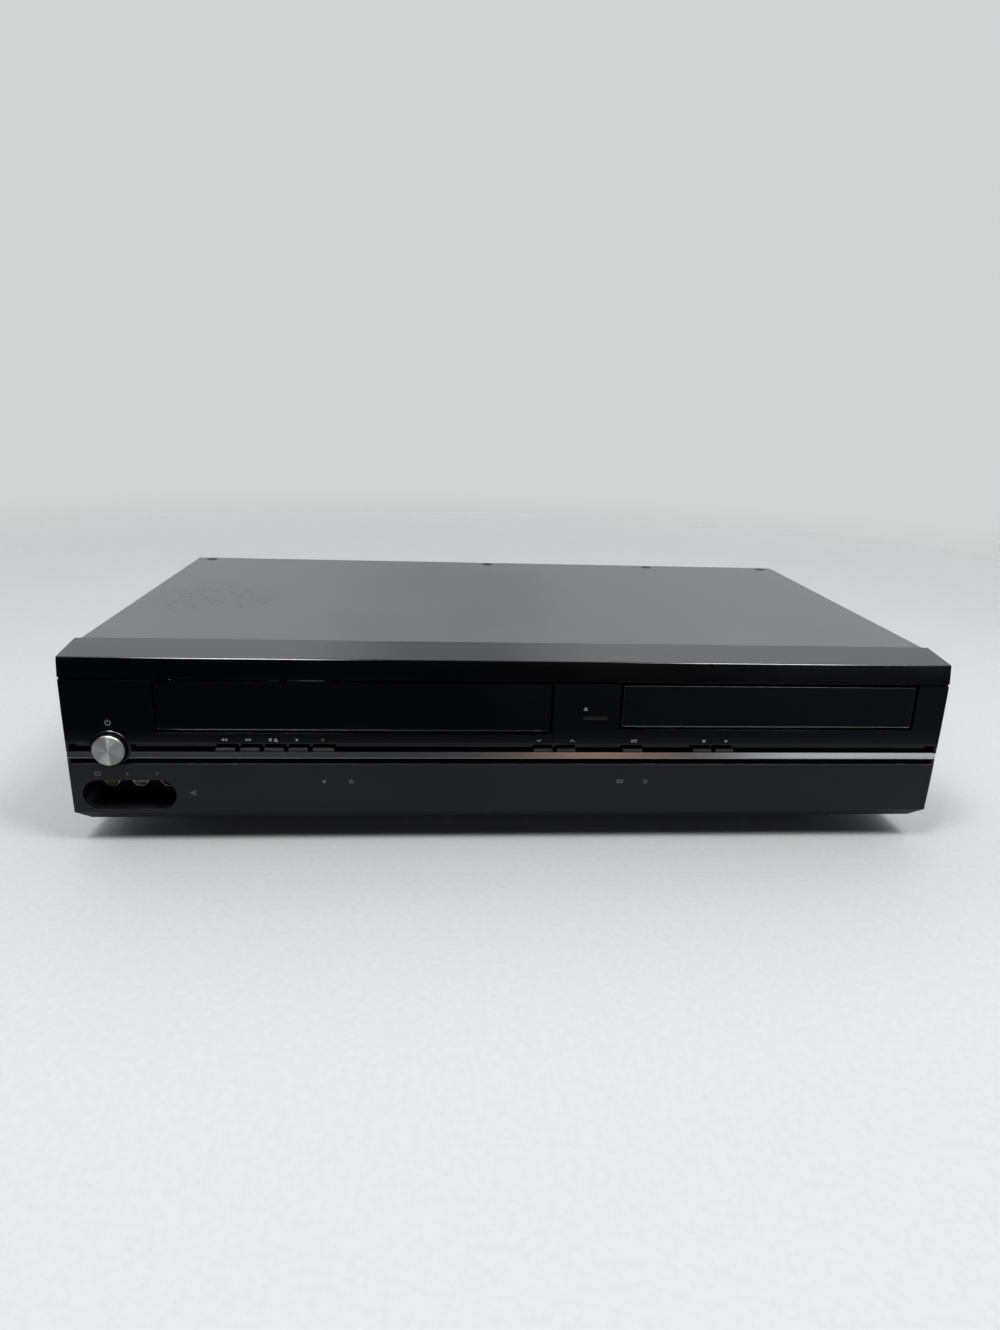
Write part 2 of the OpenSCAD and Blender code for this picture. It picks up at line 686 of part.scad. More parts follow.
module tact_switch(x, z) {
    box([x - 3, switch_y + 1.4, z - 2.6], [x + 3, board_y, z + 2.6]);
    bar_y(x, z, 1.5, switch_y + button_travel + 0.1, switch_y + 1.5);
}

shell_t = 0.5;                       // wall of a phono socket's shell
core_in = 2.2;                       // depth of a socket's core behind the shell's mouth
shell_seat = 4.5;                    // length of the shell's foot in the housing
shell_seat_r = phono_r + 0.4;
rear_face = rear_y + rear_t;
housing_end = seam_d - 0.7;          // rear of the front sockets' housing

// Housings that carry the phono sockets: one behind the fascia's recess, two rows at the rear
module jack_blocks() color("#151515") at_case() {
    difference() {
        union() {
            recess_wall(recess_w + 2, recess_h + 2, jack_back, housing_end);
            for (k = [-1:1]) bar_y(front_jack_x(k), front_jack_z, phono_r + 1.2, jack_face, jack_back + 1);
        }
        for (k = [-1:1]) bar_y(front_jack_x(k), front_jack_z, shell_seat_r, jack_face - 1, front_jack[0]);
    }
    difference() {
        union() {
            box([rear_x(0) - 7, rear_y - 11, base_top + 5.6], [rear_x(6) + 15, rear_y, rear_row_z()[1] + 8]);
            for (p = rear_phonos()) bar_y(p[0], p[1], phono_r + 1.2, rear_y - 1, rear_face);
            bar_y(svideo_x(), svideo_z(), 6, rear_y - 1, rear_face + 0.6);
        }
        for (p = rear_phonos()) bar_y(p[0], p[1], shell_seat_r, rear_face - shell_seat, rear_face + 1);
        bar_y(svideo_x(), svideo_z(), svideo_r, rear_y - 5, rear_y + 9);
    }
}

// Depths of a phono socket as [end in the housing, face of the housing, mouth]
front_jack = [housing_end - 0.3, jack_face, jack_front];
rear_jack = [rear_face - shell_seat, rear_face, rear_reach - 1];
function front_jack_x(k) = recess_x + k * phono_pitch;

// Metal shell of a phono socket: a tube with a wider foot that is held in the housing
module phono_shell(x, z, d) difference() {
    union() {
        bar_y(x, z, shell_seat_r, min(d[0], d[1]), max(d[0], d[1]));
        bar_y(x, z, phono_r, min(d[0], d[2]), max(d[0], d[2]));
    }
    bar_y(x, z, phono_r - shell_t, -9, body_d + 20);
}

// Moulded core of a phono socket, set in behind the shell's mouth, with the hole for the plug's pin
module phono_core(x, z, d) difference() {
    y0 = min(d[0], d[2]) + (d[2] < d[0] ? core_in : 0);
    y1 = max(d[0], d[2]) - (d[2] < d[0] ? 0 : core_in);
    bar_y(x, z, phono_r - shell_t, y0, y1);
    bar_y(x, z, 1.65, y0 - 1, y1 + 1);
}

module jack_shells() color("#b9bbbd") at_case() {
    for (k = [-1:1]) phono_shell(front_jack_x(k), front_jack_z, front_jack);
    for (p = rear_phonos()) phono_shell(p[0], p[1], rear_jack);
}

// Cores of one colour: one front socket (or none) and the rear sockets whose number is listed
module cores(front, rear) at_case() {
    for (k = front) phono_core(front_jack_x(k), front_jack_z, front_jack);
    for (i = rear) phono_core(rear_phonos()[i][0], rear_phonos()[i][1], rear_jack);
}

module yellow_jack_cores() color("#d8b400") cores([-1], [0, 6]);
module white_jack_cores() color("#e6e6e2") cores([0], [1, 7, 3]);
module red_jack_cores() color("#b3161b") cores([1], [2, 8, 4]);
module component_jack_cores() color("#2d7a3a") cores([], [5, 9, 10, 11]);

// Tuner can with two threaded aerial barrels
module antenna_block() color("#a3a6a8") at_case() difference() {
    union() {
        box([aerial_x() - 10, rear_y - 40, base_top + 7.5], [aerial_x() + 10, rear_y, base_top + 50]);
        for (z = aerial_places()) {
            bar_y(aerial_x(), z, aerial_r, rear_y - 1, rear_reach);
            translate([aerial_x(), rear_y + rear_t, z]) rotate([-90, 0, 0])
                cylinder(r = 6.3, h = 1.6, $fn = 6);
        }
    }
    for (z = aerial_places()) {
        bar_y(aerial_x(), z, 3.4, rear_reach - 5, rear_reach + 1);
        bar_y(aerial_x(), z, 0.6, rear_reach - 8, rear_reach + 1);
    }
}

// Bush in the rear panel where the mains lead leaves the case
module cord_bush() color("#0f0f10") at_case() difference() {
    union() {
        bar_y(bush_x(), bush_z(), 6.1, rear_y - 2, rear_y + rear_t);
        bar_y(bush_x(), bush_z(), 8, rear_y - 3.5, rear_y);
        translate([bush_x(), rear_y + rear_t + 1.6, bush_z()]) rotate([90, 0, 0])
            cylinder(r1 = 6.8, r2 = 7.6, h = 1.6);
    }
    bar_y(bush_x(), bush_z(), 3, rear_y - 5, rear_y + 9);
}

// --- Boards ------------------------------------------------------------------------------------------

board_z = base_top + 5.5;
board_left = door_x + side_half + 14;

module board(x0, y0, x1, y1) {
    box([x0, y0, board_z], [x1, y1, board_z + board_t]);
    for (x = [x0 + 5, x1 - 5], y = [y0 + 5, y1 - 5]) translate([x, y, base_top])
        cylinder(r = 2.5, h = board_z - base_top);
}

module capacitor(x, y, r, h) translate([x, y, board_z + board_t]) cylinder(r = r, h = h);

module chip(x, y, w, l, h) box([x - w / 2, y - l / 2, board_z + board_t],
    [x + w / 2, y + l / 2, board_z + board_t + h]);

module main_board() color("#1f5a33") at_case() {
    x1 = cover_half - 6;
    difference() {
        board(board_left, 28, x1, rear_y - 6);
        for (p = loader_legs()) translate([p[0], p[1], 0]) cylinder(r = 5.5, h = body_h / 2);
        box([aerial_x() - 10.5, rear_y - 41, 0], [aerial_x() + 10.5, rear_y, body_h / 2]);
        box([rear_x(0) - 7.5, rear_y - 12, 0], [rear_x(6) + 15.5, rear_y, body_h / 2]);
    }
    chip(tray_x - 10, 70, 28, 28, 2.4);
    chip(tray_x + 34, 96, 20, 20, 1.8);
    chip(tray_x - 44, 120, 14, 22, 2);
    for (k = [0:4]) capacitor(tray_x - 52 + 14 * k, 165, 4, 11);
    for (k = [0:3]) capacitor(tray_x + 26 + 12 * k, loader_y1 - 40, 3.2, 8);
    for (k = [0:2]) chip(tray_x - 30 + 30 * k, 36, 18, 5, 7);
}

module power_board() color("#6b5a2e") at_case() {
    x0 = -cover_half + 5;
    x1 = door_x - side_half - side_t - 2;
    xm = (x0 + x1) / 2;
    board(x0, 36, x1, rear_y - 8);
    chip(xm, 120, 24, 28, 24);
    chip(xm, 184, 22, 12, 16);
    capacitor(xm - 3, 154, 9, 30);
    for (k = [0:2]) capacitor(xm - 6 + 9 * (k % 2), 60 + 14 * k, 4, 14);
    box([x1 - 3, 84, board_z + board_t], [x1 - 1, 104, board_z + 34]);
}

// --- Cassette deck -------------------------------------------------------------------------------------

function guide_start(s) = [door_x + s * 26, capstan_y - 22];
guide_angle = 18.2;
function guide_dir(s) = [s * sin(guide_angle), cos(guide_angle)];
function arm_pivot() = [capstan_x + 18 + roller_r, capstan_y + 13];

reel_post_r = 1.5;
arm_post_r = 2;
roller_pin_r = 1.5;
arm_l = 26;                          // pivot to roller
arm_swing = 22;                      // degrees from rest to the tape
pinch_gap = 0.3;                     // left for the tape between roller and capstan
arm_base = norm(arm_pivot() - [capstan_x, capstan_y]);
arm_closed = atan2(capstan_y - arm_pivot()[1], capstan_x - arm_pivot()[0])
    - acos((arm_base * arm_base + arm_l * arm_l - pow(roller_r + capstan_r + pinch_gap, 2))
        / (2 * arm_base * arm_l));
arm_rest = arm_closed - arm_swing;
function roller_place() = arm_pivot() + arm_l * [cos(arm_rest), sin(arm_rest)];

module deck_plate() color("#9a9da0") at_case() difference() {
    x0 = door_x - side_half - side_t;
    x1 = door_x + side_half + side_t;
    union() {
        box([x0, deck_front, deck_z], [x1, deck_rear, deck_top]);
        for (x = [door_x - side_half + 6, door_x + side_half - 6], y = [deck_front + 6, deck_rear - 6])
            translate([x, y, base_top]) cylinder(r = 3, h = deck_z - base_top);
        for (s = [-1, 1]) translate([door_x + s * reel_pitch / 2, reel_y, deck_top - eps]) {
            cylinder(r = 3.5, h = 1 + eps);
            cylinder(r = reel_post_r, h = 10);
        }
        translate([arm_pivot()[0], arm_pivot()[1], deck_top - eps]) cylinder(r = arm_post_r, h = 16);
        box([x0, deck_rear - 1.2, deck_top - eps], [x1, deck_rear, deck_top + 5]);
    }
    for (s = [-1, 1]) translate([guide_start(s)[0], guide_start(s)[1], 0])
        rotate(-s * guide_angle) translate([0, guide_travel / 2, 0]) linear_extrude(body_h) rotate(90)
            stadium(guide_travel + 7, 6.4);
    translate([capstan_x, capstan_y, 0]) cylinder(r = 5, h = body_h);
    for (x = [-30, 30]) translate([door_x + x, reel_y - 30, deck_z - 1]) linear_extrude(5) stadium(26, 12);
}

// Upright sides of the deck with the L-shaped tracks of the holder's pins
module deck_side_plates() color("#a4a7aa") at_case() for (s = [-1, 1]) {
    x = door_x + s * side_half;
    y0 = holder_y + 10;
    y1 = holder_y + holder_l - 8;
    along_x(min(x, x + s * side_t), max(x, x + s * side_t)) difference() {
        polygon([[deck_front, deck_top], [deck_front, tape_z - 6], [deck_front + 14, tape_z + tape_h + 3],
            [y1 + holder_travel + 24, tape_z + tape_h + 3], [y1 + holder_travel + 24, deck_top]]);
        for (y = [y0, y1]) {
            translate([y - 2.2, tape_z + 8]) square([holder_travel + 4.4, 4.4]);
            translate([y + holder_travel - 2.2, tape_z - 14]) square([4.4, 24]);
        }
        translate([y0 + 4, deck_top + 5]) square([holder_travel - 12, 8]);
    }
}

// Open basket that the cassette slides into, with two pins in the tracks on each side
module cassette_holder() color("#b7babd") at_case() {
    y1 = holder_y + holder_l;
    zt = tape_z + tape_h + 0.3;
    zb = tape_z - 0.2;
    for (s = [-1, 1]) {
        xo = door_x + s * holder_half;
        xi = door_x + s * (holder_half - holder_t);
        xf = door_x + s * (holder_half - 22);
        box([min(xo, xi), holder_y, zb - holder_t], [max(xo, xi), y1, zt + holder_t]);
        box([min(xo, xf), holder_y + 1, zb - holder_t], [max(xo, xf), y1, zb]);
        for (y = [holder_y + 10, y1 - 8])
            bar_x(y, tape_z + 10.2, 1.9, min(xi, xo + s * 1.7), max(xi, xo + s * 1.7));
    }
    box([door_x - holder_half, holder_y + 12, zt], [door_x + holder_half, y1, zt + holder_t]);
    box([door_x - holder_half, y1 - holder_t, zb - holder_t], [door_x + holder_half, y1, zb + 5]);
}

// Reel table: a flanged disc and a hub with three drive ribs that fit a cassette reel
module reel(s) at_case() translate([door_x + s * reel_pitch / 2, reel_y, deck_top + 1]) difference() {
    union() {
        cylinder(r = reel_r, h = 2);
        translate([0, 0, 2 - eps]) cylinder(r = reel_r - 4, h = 2);
        translate([0, 0, 3]) cylinder(r = 5.6, h = 9);
        translate([0, 0, 12 - eps]) cylinder(r1 = 5.6, r2 = 3, h = 3);
        for (a = [0:120:240]) rotate(a) translate([5, -1.1, 3]) cube([4.4, 2.2, 8]);
    }
    translate([0, 0, -1]) cylinder(r = reel_post_r + fit, h = 12);
    for (a = [0:60:300]) rotate(a) translate([reel_r - 3.4, 0, -1]) cylinder(r = 1.6, h = 6);
}

module supply_reel() color("#e4e2da") reel(-1);
module takeup_reel() color("#e4e2da") reel(1);

// Places a piece on the tilted axis of the head drum, whose foot stands on the deck plate
module on_drum() translate([door_x, drum_y, deck_top]) rotate([-drum_tilt, 0, 0]) children();

drum_low_h = 17;
drum_up_h = 16;
drum_shaft_r = 3;

module lower_drum() color("#bfc2c4") at_case() difference() {
    on_drum() {
        translate([0, 0, -5]) cylinder(r = drum_r - 4, h = 12);
        translate([0, 0, 6]) cylinder(r = drum_r + 0.35, h = 4);
        translate([0, 0, 9]) cylinder(r = drum_r, h = drum_low_h - 9);
        translate([0, 0, drum_low_h - 1]) cylinder(r = drum_shaft_r, h = drum_up_h + 4);
    }
    box([door_x - 60, drum_y - 60, deck_top - 30], [door_x + 60, drum_y + 60, deck_top]);
}

module upper_drum() color("#d4d6d8") at_case() on_drum() translate([0, 0, drum_low_h + 0.3]) difference() {
    union() {
        cylinder(r = drum_r, h = drum_up_h - 3);
        translate([0, 0, drum_up_h - 3 - eps]) cylinder(r1 = drum_r, r2 = drum_r - 1, h = 1 + eps);
        cylinder(r = 14, h = drum_up_h);
    }
    translate([0, 0, -1]) cylinder(r = drum_shaft_r + fit, h = drum_up_h + 3);
    for (a = [0:90:270]) rotate(a + 20) translate([drum_r - 1.6, -2, -1]) cube([3, 4, 3.2]);
    for (a = [0:120:240]) rotate(a) translate([21, 0, 2]) cylinder(r = 3, h = drum_up_h);
}

// Capstan: shaft with its flywheel under the deck
module capstan() color("#c9cbcd") at_case() translate([capstan_x, capstan_y, 0]) {
    translate([0, 0, deck_z - 9]) cylinder(r = capstan_r, h = 34);
    difference() {
        translate([0, 0, deck_z - 8]) cylinder(r = 23, h = 5);
        translate([0, 0, deck_z - 9]) cylinder(r = 18, h = 2.5);
    }
}

// Bearing of the capstan and the coil board under its flywheel
module capstan_motor() color("#4a4d50") at_case() translate([capstan_x, capstan_y, 0]) {
    difference() {
        union() {
            translate([0, 0, deck_z - 2.6]) cylinder(r = 4.9, h = 7.2);
            translate([0, 0, deck_top + eps]) cylinder(r = 8, h = 1);
        }
        cylinder(r = capstan_r + fit, h = body_h);
    }
    translate([0, 0, deck_z - 11.6]) cylinder(r = 29, h = 1.2);
    for (a = [40, 160, 280]) rotate(a) translate([26.5, 0, deck_z - 11]) cylinder(r = 1.5, h = 11);
}

module pinch_arm() color("#b0b3b5") at_case() translate([arm_pivot()[0], arm_pivot()[1], deck_top + 1.4]) {
    rotate(arm_rest) difference() {
        union() {
            translate([0, -3, 0]) cube([arm_l, 6, 1.4]);
            cylinder(r = 4.5, h = 9);
            translate([arm_l, 0, 0]) cylinder(r = 3, h = 2.4);
            translate([arm_l, 0, 0]) cylinder(r = roller_pin_r, h = 19);
        }
        translate([0, 0, -1]) cylinder(r = arm_post_r + fit, h = 20);
    }
}

module pinch_roller() color("#1b1b1c") at_case()
    translate([roller_place()[0], roller_place()[1], deck_top + 4.1]) difference() {
        cylinder(r = roller_r, h = 13);
        translate([0, 0, -1]) cylinder(r = roller_pin_r + fit, h = 20);
        translate([0, 0, 12]) difference() {
            cylinder(r = roller_r - 2, h = 2);
            translate([0, 0, -1]) cylinder(r = 3, h = 4);
        }
    }

// Tape guide: a block on the slot with a tongue through it, an upright roller post and a slanted post
module guide(s) at_case() translate([guide_start(s)[0], guide_start(s)[1], 0]) rotate(-s * guide_angle) {
    translate([0, 0, deck_z - 1.6]) cylinder(r = 4.6, h = 1.4);
    translate([0, 0, deck_z - 0.3]) cylinder(r = 2.8, h = 3);
    box([-5, -5.6, deck_top + 0.2], [5, 5.6, deck_top + 3.2]);
    translate([0, -2, deck_top + 3]) cylinder(r = 2.6, h = 16);
    translate([0, -2, deck_top + 18.9]) cylinder(r = 3.6, h = 1.6);
    translate([0, 3, deck_top + 3]) rotate([0, s * 12, 0]) cylinder(r = 1, h = 15);
}

module supply_guide() color("#c4c6c8") guide(-1);
module takeup_guide() color("#c4c6c8") guide(1);

// Erase head on the supply side, sound and control head on the take-up side, and two fixed posts
module tape_heads() color("#8f9294") at_case() {
    for (s = [-1, 1]) translate([door_x + s * 64, drum_y + 15, deck_top]) rotate(-s * 35) {
        box([-5, -4, 0], [5, 4, 3]);
        box([-4, -3, 3], [4, 3.4, 17]);
    }
    translate([door_x - 62, drum_y - 34, deck_top]) cylinder(r = 2.4, h = 18);
    translate([door_x - 78, drum_y - 40, deck_top]) cylinder(r = 2, h = 18);
}

// --- Disc loader -----------------------------------------------------------------------------------------

loader_y0 = board_y + board_t + 1.4;
loader_y1 = tray_rear + 8;
loader_half = tray_w / 2 + 5;
loader_z0 = tray_z - 16;             // underside of the loader's floor
loader_floor = 2;
loader_z1 = tray_top + 1.6;
gear_r = gear_m * gear_z / 2;        // pitch radius
gear_x = tray_x - tray_w / 2 + 5.5 + gear_r + 2 * gear_m;
gear_y = loader_y0 + 14;
gear_bot = loader_z0 + loader_floor + 0.4;
gear_post_r = 2.5;
rack_x = gear_x - gear_r;            // pitch line of the rack
hinge_back = tray_rear - 8;
traverse_z = tray_z - 5;             // height of the traverse's hinge
traverse_pin_r = 1.5;
function loader_legs() = [for (x = [tray_x - loader_half - 4, tray_x + loader_half + 4],
    y = [loader_y0 + 20, loader_y1 - 20]) [x, y]];

module loader_frame() color("#17181b") at_case() difference() {
    union() {
        difference() {
            box([tray_x - loader_half, loader_y0, loader_z0], [tray_x + loader_half, loader_y1, loader_z1]);
            box([tray_x - loader_half + 2, loader_y0 - 1, loader_z0 + loader_floor],
                [tray_x + loader_half - 2, loader_y1 - 2, loader_z1 + 1]);
        }
        // Rails that carry the tray's edges from below
        for (s = [-1, 1]) {
            xo = tray_x + s * (loader_half - 2);
            xi = tray_x + s * (tray_w / 2 - 3);
            box([min(xo, xi), loader_y0, tray_z - slip - 2.2], [max(xo, xi), loader_y1 - 2, tray_z - slip]);
        }
        for (p = loader_legs()) {
            translate([p[0], p[1], base_top]) cylinder(r = 4, h = loader_z0 - base_top + 2);
            box([min(p[0], tray_x), p[1] - 5, loader_z0], [max(p[0], tray_x), p[1] + 5, loader_z0 + 2]);
        }
        translate([gear_x, gear_y, loader_z0 + loader_floor - eps]) cylinder(r = gear_post_r, h = 11);
        // Lugs with the bores of the traverse's hinge pins
        for (s = [-1, 1]) box([tray_x + s * 33 - 2, hinge_back - 4, loader_z0 + 1],
            [tray_x + s * 33 + 2, hinge_back + 4, traverse_z + 4]);
    }
    box([tray_x - 30, disc_y - 30, loader_z0 - 1], [tray_x + 30, hinge_back - 6, loader_z0 + 4]);
    bar_x(hinge_back, traverse_z, traverse_pin_r + fit, tray_x - 40, tray_x + 40);
}

// Tray with a seat for each disc size, the slot for the turntable and pickup, and a rack underneath
module disc_tray() color("#222327") at_case() {
    difference() {
        box([tray_x - tray_w / 2, 4, tray_z], [tray_x + tray_w / 2, tray_rear, tray_z + tray_t]);
        translate([tray_x, disc_y, tray_z + 2.2]) cylinder(r = disc_d / 2 + 1, h = tray_t, $fn = 96);
        translate([tray_x, disc_y, tray_z + 1.2]) cylinder(r = disc_d / 3 + 1, h = tray_t, $fn = 96);
        translate([tray_x, disc_y, tray_z - 1]) cylinder(r = slot_w / 2, h = tray_t + 2);
        box([tray_x - slot_w / 2, disc_y, tray_z - 1],
            [tray_x + slot_w / 2, tray_rear + 1, tray_z + tray_t + 1]);
        // Finger cut-outs at the four corners of the seat
        for (a = [45:90:315]) translate([tray_x, disc_y, tray_z + 2.2]) rotate(a)
            translate([disc_d / 2, 0, 0]) cylinder(r = 9, h = tray_t);
    }
    translate([0, 0, tray_z - rack_h]) rack();
}

// Rack with straight flanks that mesh with the tray gear; a tooth space faces the gear at rest
module rack() {
    p = PI * gear_m;
    back = rack_x - 1.2 * gear_m - 2.4;
    n0 = -floor((gear_y - 10) / p);
    n1 = floor((tray_rear - gear_y) / p) - 1;
    h = p / 4 - 0.06;
    linear_extrude(rack_h + eps) polygon(concat([[back, gear_y + n0 * p]],
        [for (k = [n0:n1]) each [
            [rack_x - 1.2 * gear_m, gear_y + (k + 0.5) * p - h - 1.2 * gear_m * tan(20)],
            [rack_x + 0.9 * gear_m, gear_y + (k + 0.5) * p - h + 0.9 * gear_m * tan(20)],
            [rack_x + 0.9 * gear_m, gear_y + (k + 0.5) * p + h - 0.9 * gear_m * tan(20)],
            [rack_x - 1.2 * gear_m, gear_y + (k + 0.5) * p + h + 1.2 * gear_m * tan(20)]]],
        [[back, gear_y + (n1 + 1) * p]]));
}

module disc_tray_door() color("#0a0b0d") at_case() {
    x0 = tray_x - tray_door_w / 2;
    x1 = tray_x + tray_door_w / 2;
    along_x(x0, x1) polygon([[face_y(tray_top) + 0.3, tray_top], [face_y(tray_top), tray_top - 0.7],
        [face_y(tray_bot), tray_bot], [face_y(tray_bot) + door_t, tray_bot],
        [face_y(tray_top) + door_t, tray_top]]);
    box([tray_x - tray_w / 2 + 2, -0.5, tray_z], [tray_x + tray_w / 2 - 2, 4, tray_z + tray_t]);
    for (s = [-1, 1]) box([tray_x + s * 40 - 6, -0.5, tray_z - 2], [tray_x + s * 40 + 6, 4, tray_z + eps]);
}

// Gear that drives the rack, with the belt pulley under its teeth
module tray_gear() color("#dcd8cc") at_case() translate([gear_x, gear_y, gear_bot]) difference() {
    union() {
        cylinder(r = gear_r + 3, h = 1.2);
        translate([0, 0, 1]) cylinder(r = gear_r + 1.5, h = 2);
        translate([0, 0, 2.8]) cylinder(r = gear_r + 3, h = 1.2);
        translate([0, 0, 4 - eps]) linear_extrude(9) polygon(gear_outline(gear_m, gear_z, 0.12));
    }
    translate([0, 0, -1]) cylinder(r = gear_post_r + fit, h = 20);
}

// Turns a piece drawn level about the traverse's hinge, down to its place at rest
module on_traverse() translate([0, hinge_back, traverse_z]) rotate([traverse_tilt, 0, 0])
    translate([0, -hinge_back, -traverse_z]) children();

table_top = tray_z + 4.2;            // the turntable's face when the traverse is level
rail_z = traverse_z - 3;
rail_x = 23.5;
rail_r = 1.2;
spindle_r = 1.2;

module traverse() color("#7f8386") at_case() on_traverse() {
    difference() {
        box([tray_x - 27, disc_y - 22, traverse_z - 8], [tray_x + 27, hinge_back + 2.5, traverse_z - 6]);
        box([tray_x - 21, disc_y + 15, traverse_z - 9], [tray_x + 21, hinge_back - 12, traverse_z - 5]);
        translate([tray_x, disc_y, 0]) cylinder(r = spindle_r + fit, h = body_h);
    }
    for (s = [-1, 1]) {
        cheek = tray_x + s * 26;
        pin_end = tray_x + s * 34.5;
        rail = tray_x + s * rail_x;
        // Cheek with its hinge pin, and a rail for the pickup
        box([cheek - 1, hinge_back - 8, traverse_z - 6.5], [cheek + 1, hinge_back + 2.5, traverse_z + 2]);
        bar_x(hinge_back, traverse_z, traverse_pin_r, min(cheek, pin_end), max(cheek, pin_end));
        bar_y(rail, rail_z, rail_r, disc_y + 10, hinge_back - 9);
        for (y = [disc_y + 10, hinge_back - 11])
            box([rail - 2, y, traverse_z - 6.5], [rail + 2, y + 3, rail_z]);
    }
}

// Turntable with its centring cone, on the motor's shaft
module turntable() color("#2a2b2e") at_case() on_traverse() translate([tray_x, disc_y, 0]) {
    translate([0, 0, traverse_z - 9]) cylinder(r = spindle_r, h = 8);
    translate([0, 0, traverse_z - 5.6]) cylinder(r = 11, h = 3.4);
    translate([0, 0, traverse_z - 2.4]) cylinder(r = 2.6, h = table_top - traverse_z + 1);
    translate([0, 0, table_top - 1.6]) cylinder(r = table_r, h = 1.6);
    translate([0, 0, table_top - eps]) cylinder(r1 = 7.4, r2 = 6.2, h = 1.7);
}

pickup_y = disc_y + 26;

module pickup() color("#33353a") at_case() on_traverse() difference() {
    union() {
        box([tray_x - 19, pickup_y - 9, traverse_z - 4.6], [tray_x + 19, pickup_y + 12, traverse_z + 0.6]);
        for (s = [-1, 1]) box([tray_x + s * 22 - 4, pickup_y - 7, rail_z - 2.4],
            [tray_x + s * 22 + 4, pickup_y + 7, rail_z + 2.4]);
        box([tray_x - 7, pickup_y - 6, traverse_z + 0.5], [tray_x + 7, pickup_y + 6, traverse_z + 2.2]);
        translate([tray_x, pickup_y, traverse_z + 2]) cylinder(r = 3.4, h = 1.6);
    }
    for (s = [-1, 1]) bar_y(tray_x + s * rail_x, rail_z, rail_r + fit, pickup_y - 20, pickup_y + 30);
    translate([tray_x, pickup_y, traverse_z + 2.6]) cylinder(r = 2.4, h = 2);
}

// Bridge over the tray that holds the clamping puck above the turntable
puck_r = 15;
bridge_z = tray_z + tray_t + 1.6;

module clamp_bridge() color("#a9acae") at_case() difference() {
    y0 = disc_y - 22;
    y1 = disc_y + 22;
    half = loader_half - 2 - slip;
    union() {
        box([tray_x - half, y0, bridge_z + 2.4], [tray_x + half, y1, bridge_z + 3.4]);
        for (s = [-1, 1]) {
            x = tray_x + s * half;
            box([min(x, x - s), y0, bridge_z + 2.4], [max(x, x - s), y1, loader_z1 + 1]);
            box([min(x - s, x + s * 4), y0, loader_z1], [max(x - s, x + s * 4), y1, loader_z1 + 1]);
        }
    }
    translate([tray_x, disc_y, 0]) cylinder(r = puck_r - 3, h = body_h);
}

module clamp_puck() color("#e8e8e4") at_case() translate([tray_x, disc_y, bridge_z - 0.6]) difference() {
    union() {
        cylinder(r = puck_r - 3.6, h = 4.3);
        translate([0, 0, 4.2]) cylinder(r = puck_r, h = 1.4);
    }
    translate([0, 0, -1]) cylinder(r = 8.4, h = 3);
}

top_cover();
case_screws();
bottom_chassis();
rear_panel();
feet();
front_panel();
lower_panel();
trim_strip();
power_collar();
power_button();
power_cap();
rewind_button();
fast_forward_button();
stop_eject_button();
play_button();
record_button();
channel_down_button();
channel_up_button();
source_button();
disc_stop_button();
disc_play_button();
open_close_button();
cassette_door();
key_board();
key_switches();
jack_blocks();
jack_shells();
yellow_jack_cores();
white_jack_cores();
red_jack_cores();
component_jack_cores();
antenna_block();
cord_bush();
main_board();
power_board();
deck_plate();
deck_side_plates();
cassette_holder();
supply_reel();
takeup_reel();
lower_drum();
upper_drum();
capstan();
capstan_motor();
pinch_arm();
pinch_roller();
supply_guide();
takeup_guide();
tape_heads();
loader_frame();
disc_tray();
disc_tray_door();
tray_gear();
traverse();
turntable();
pickup();
clamp_bridge();
clamp_puck();
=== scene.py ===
# %% [markdown]
# # A tape and disc player for the shelf
# The object is a slim steel case with a polished black fascia. On the left a sprung door hides a tape
# deck, on the right a tray slides out for a disc. This file dresses the finished construction: it gives
# every piece its material, adds the printed marks, the window, the rims and the screw threads, and sets
# up a floor, soft light and a camera.
#
# All lengths are in metres. The frame already holds every piece in its place, so many sizes that are
# needed here are read from the frame's own boxes, and the rest are given as numbers.

# %% Load the frame
import math

import bpy
import numpy as np
from mathutils import Matrix, Vector


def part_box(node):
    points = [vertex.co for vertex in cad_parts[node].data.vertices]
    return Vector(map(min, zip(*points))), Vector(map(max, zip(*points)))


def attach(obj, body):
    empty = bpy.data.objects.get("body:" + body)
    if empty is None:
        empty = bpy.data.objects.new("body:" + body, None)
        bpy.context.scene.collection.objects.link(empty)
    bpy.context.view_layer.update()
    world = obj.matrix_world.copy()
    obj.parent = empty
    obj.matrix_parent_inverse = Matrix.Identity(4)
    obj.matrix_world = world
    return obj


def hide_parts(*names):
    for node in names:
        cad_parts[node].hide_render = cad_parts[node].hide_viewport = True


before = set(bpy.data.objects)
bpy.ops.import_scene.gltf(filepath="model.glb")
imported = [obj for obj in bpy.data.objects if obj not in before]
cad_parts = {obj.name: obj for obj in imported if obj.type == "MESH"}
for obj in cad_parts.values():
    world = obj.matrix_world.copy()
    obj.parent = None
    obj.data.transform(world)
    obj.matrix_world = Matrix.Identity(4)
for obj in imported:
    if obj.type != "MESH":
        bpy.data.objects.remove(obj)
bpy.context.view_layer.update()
MM = 0.001

# %% [markdown]
# ## Where things are
# The fascia's top front edge is the line that every depth is measured from, and the heights of its
# lines follow from the boxes of the pieces. Reading them from the frame keeps the printed marks on the
# surface even if a size changes.

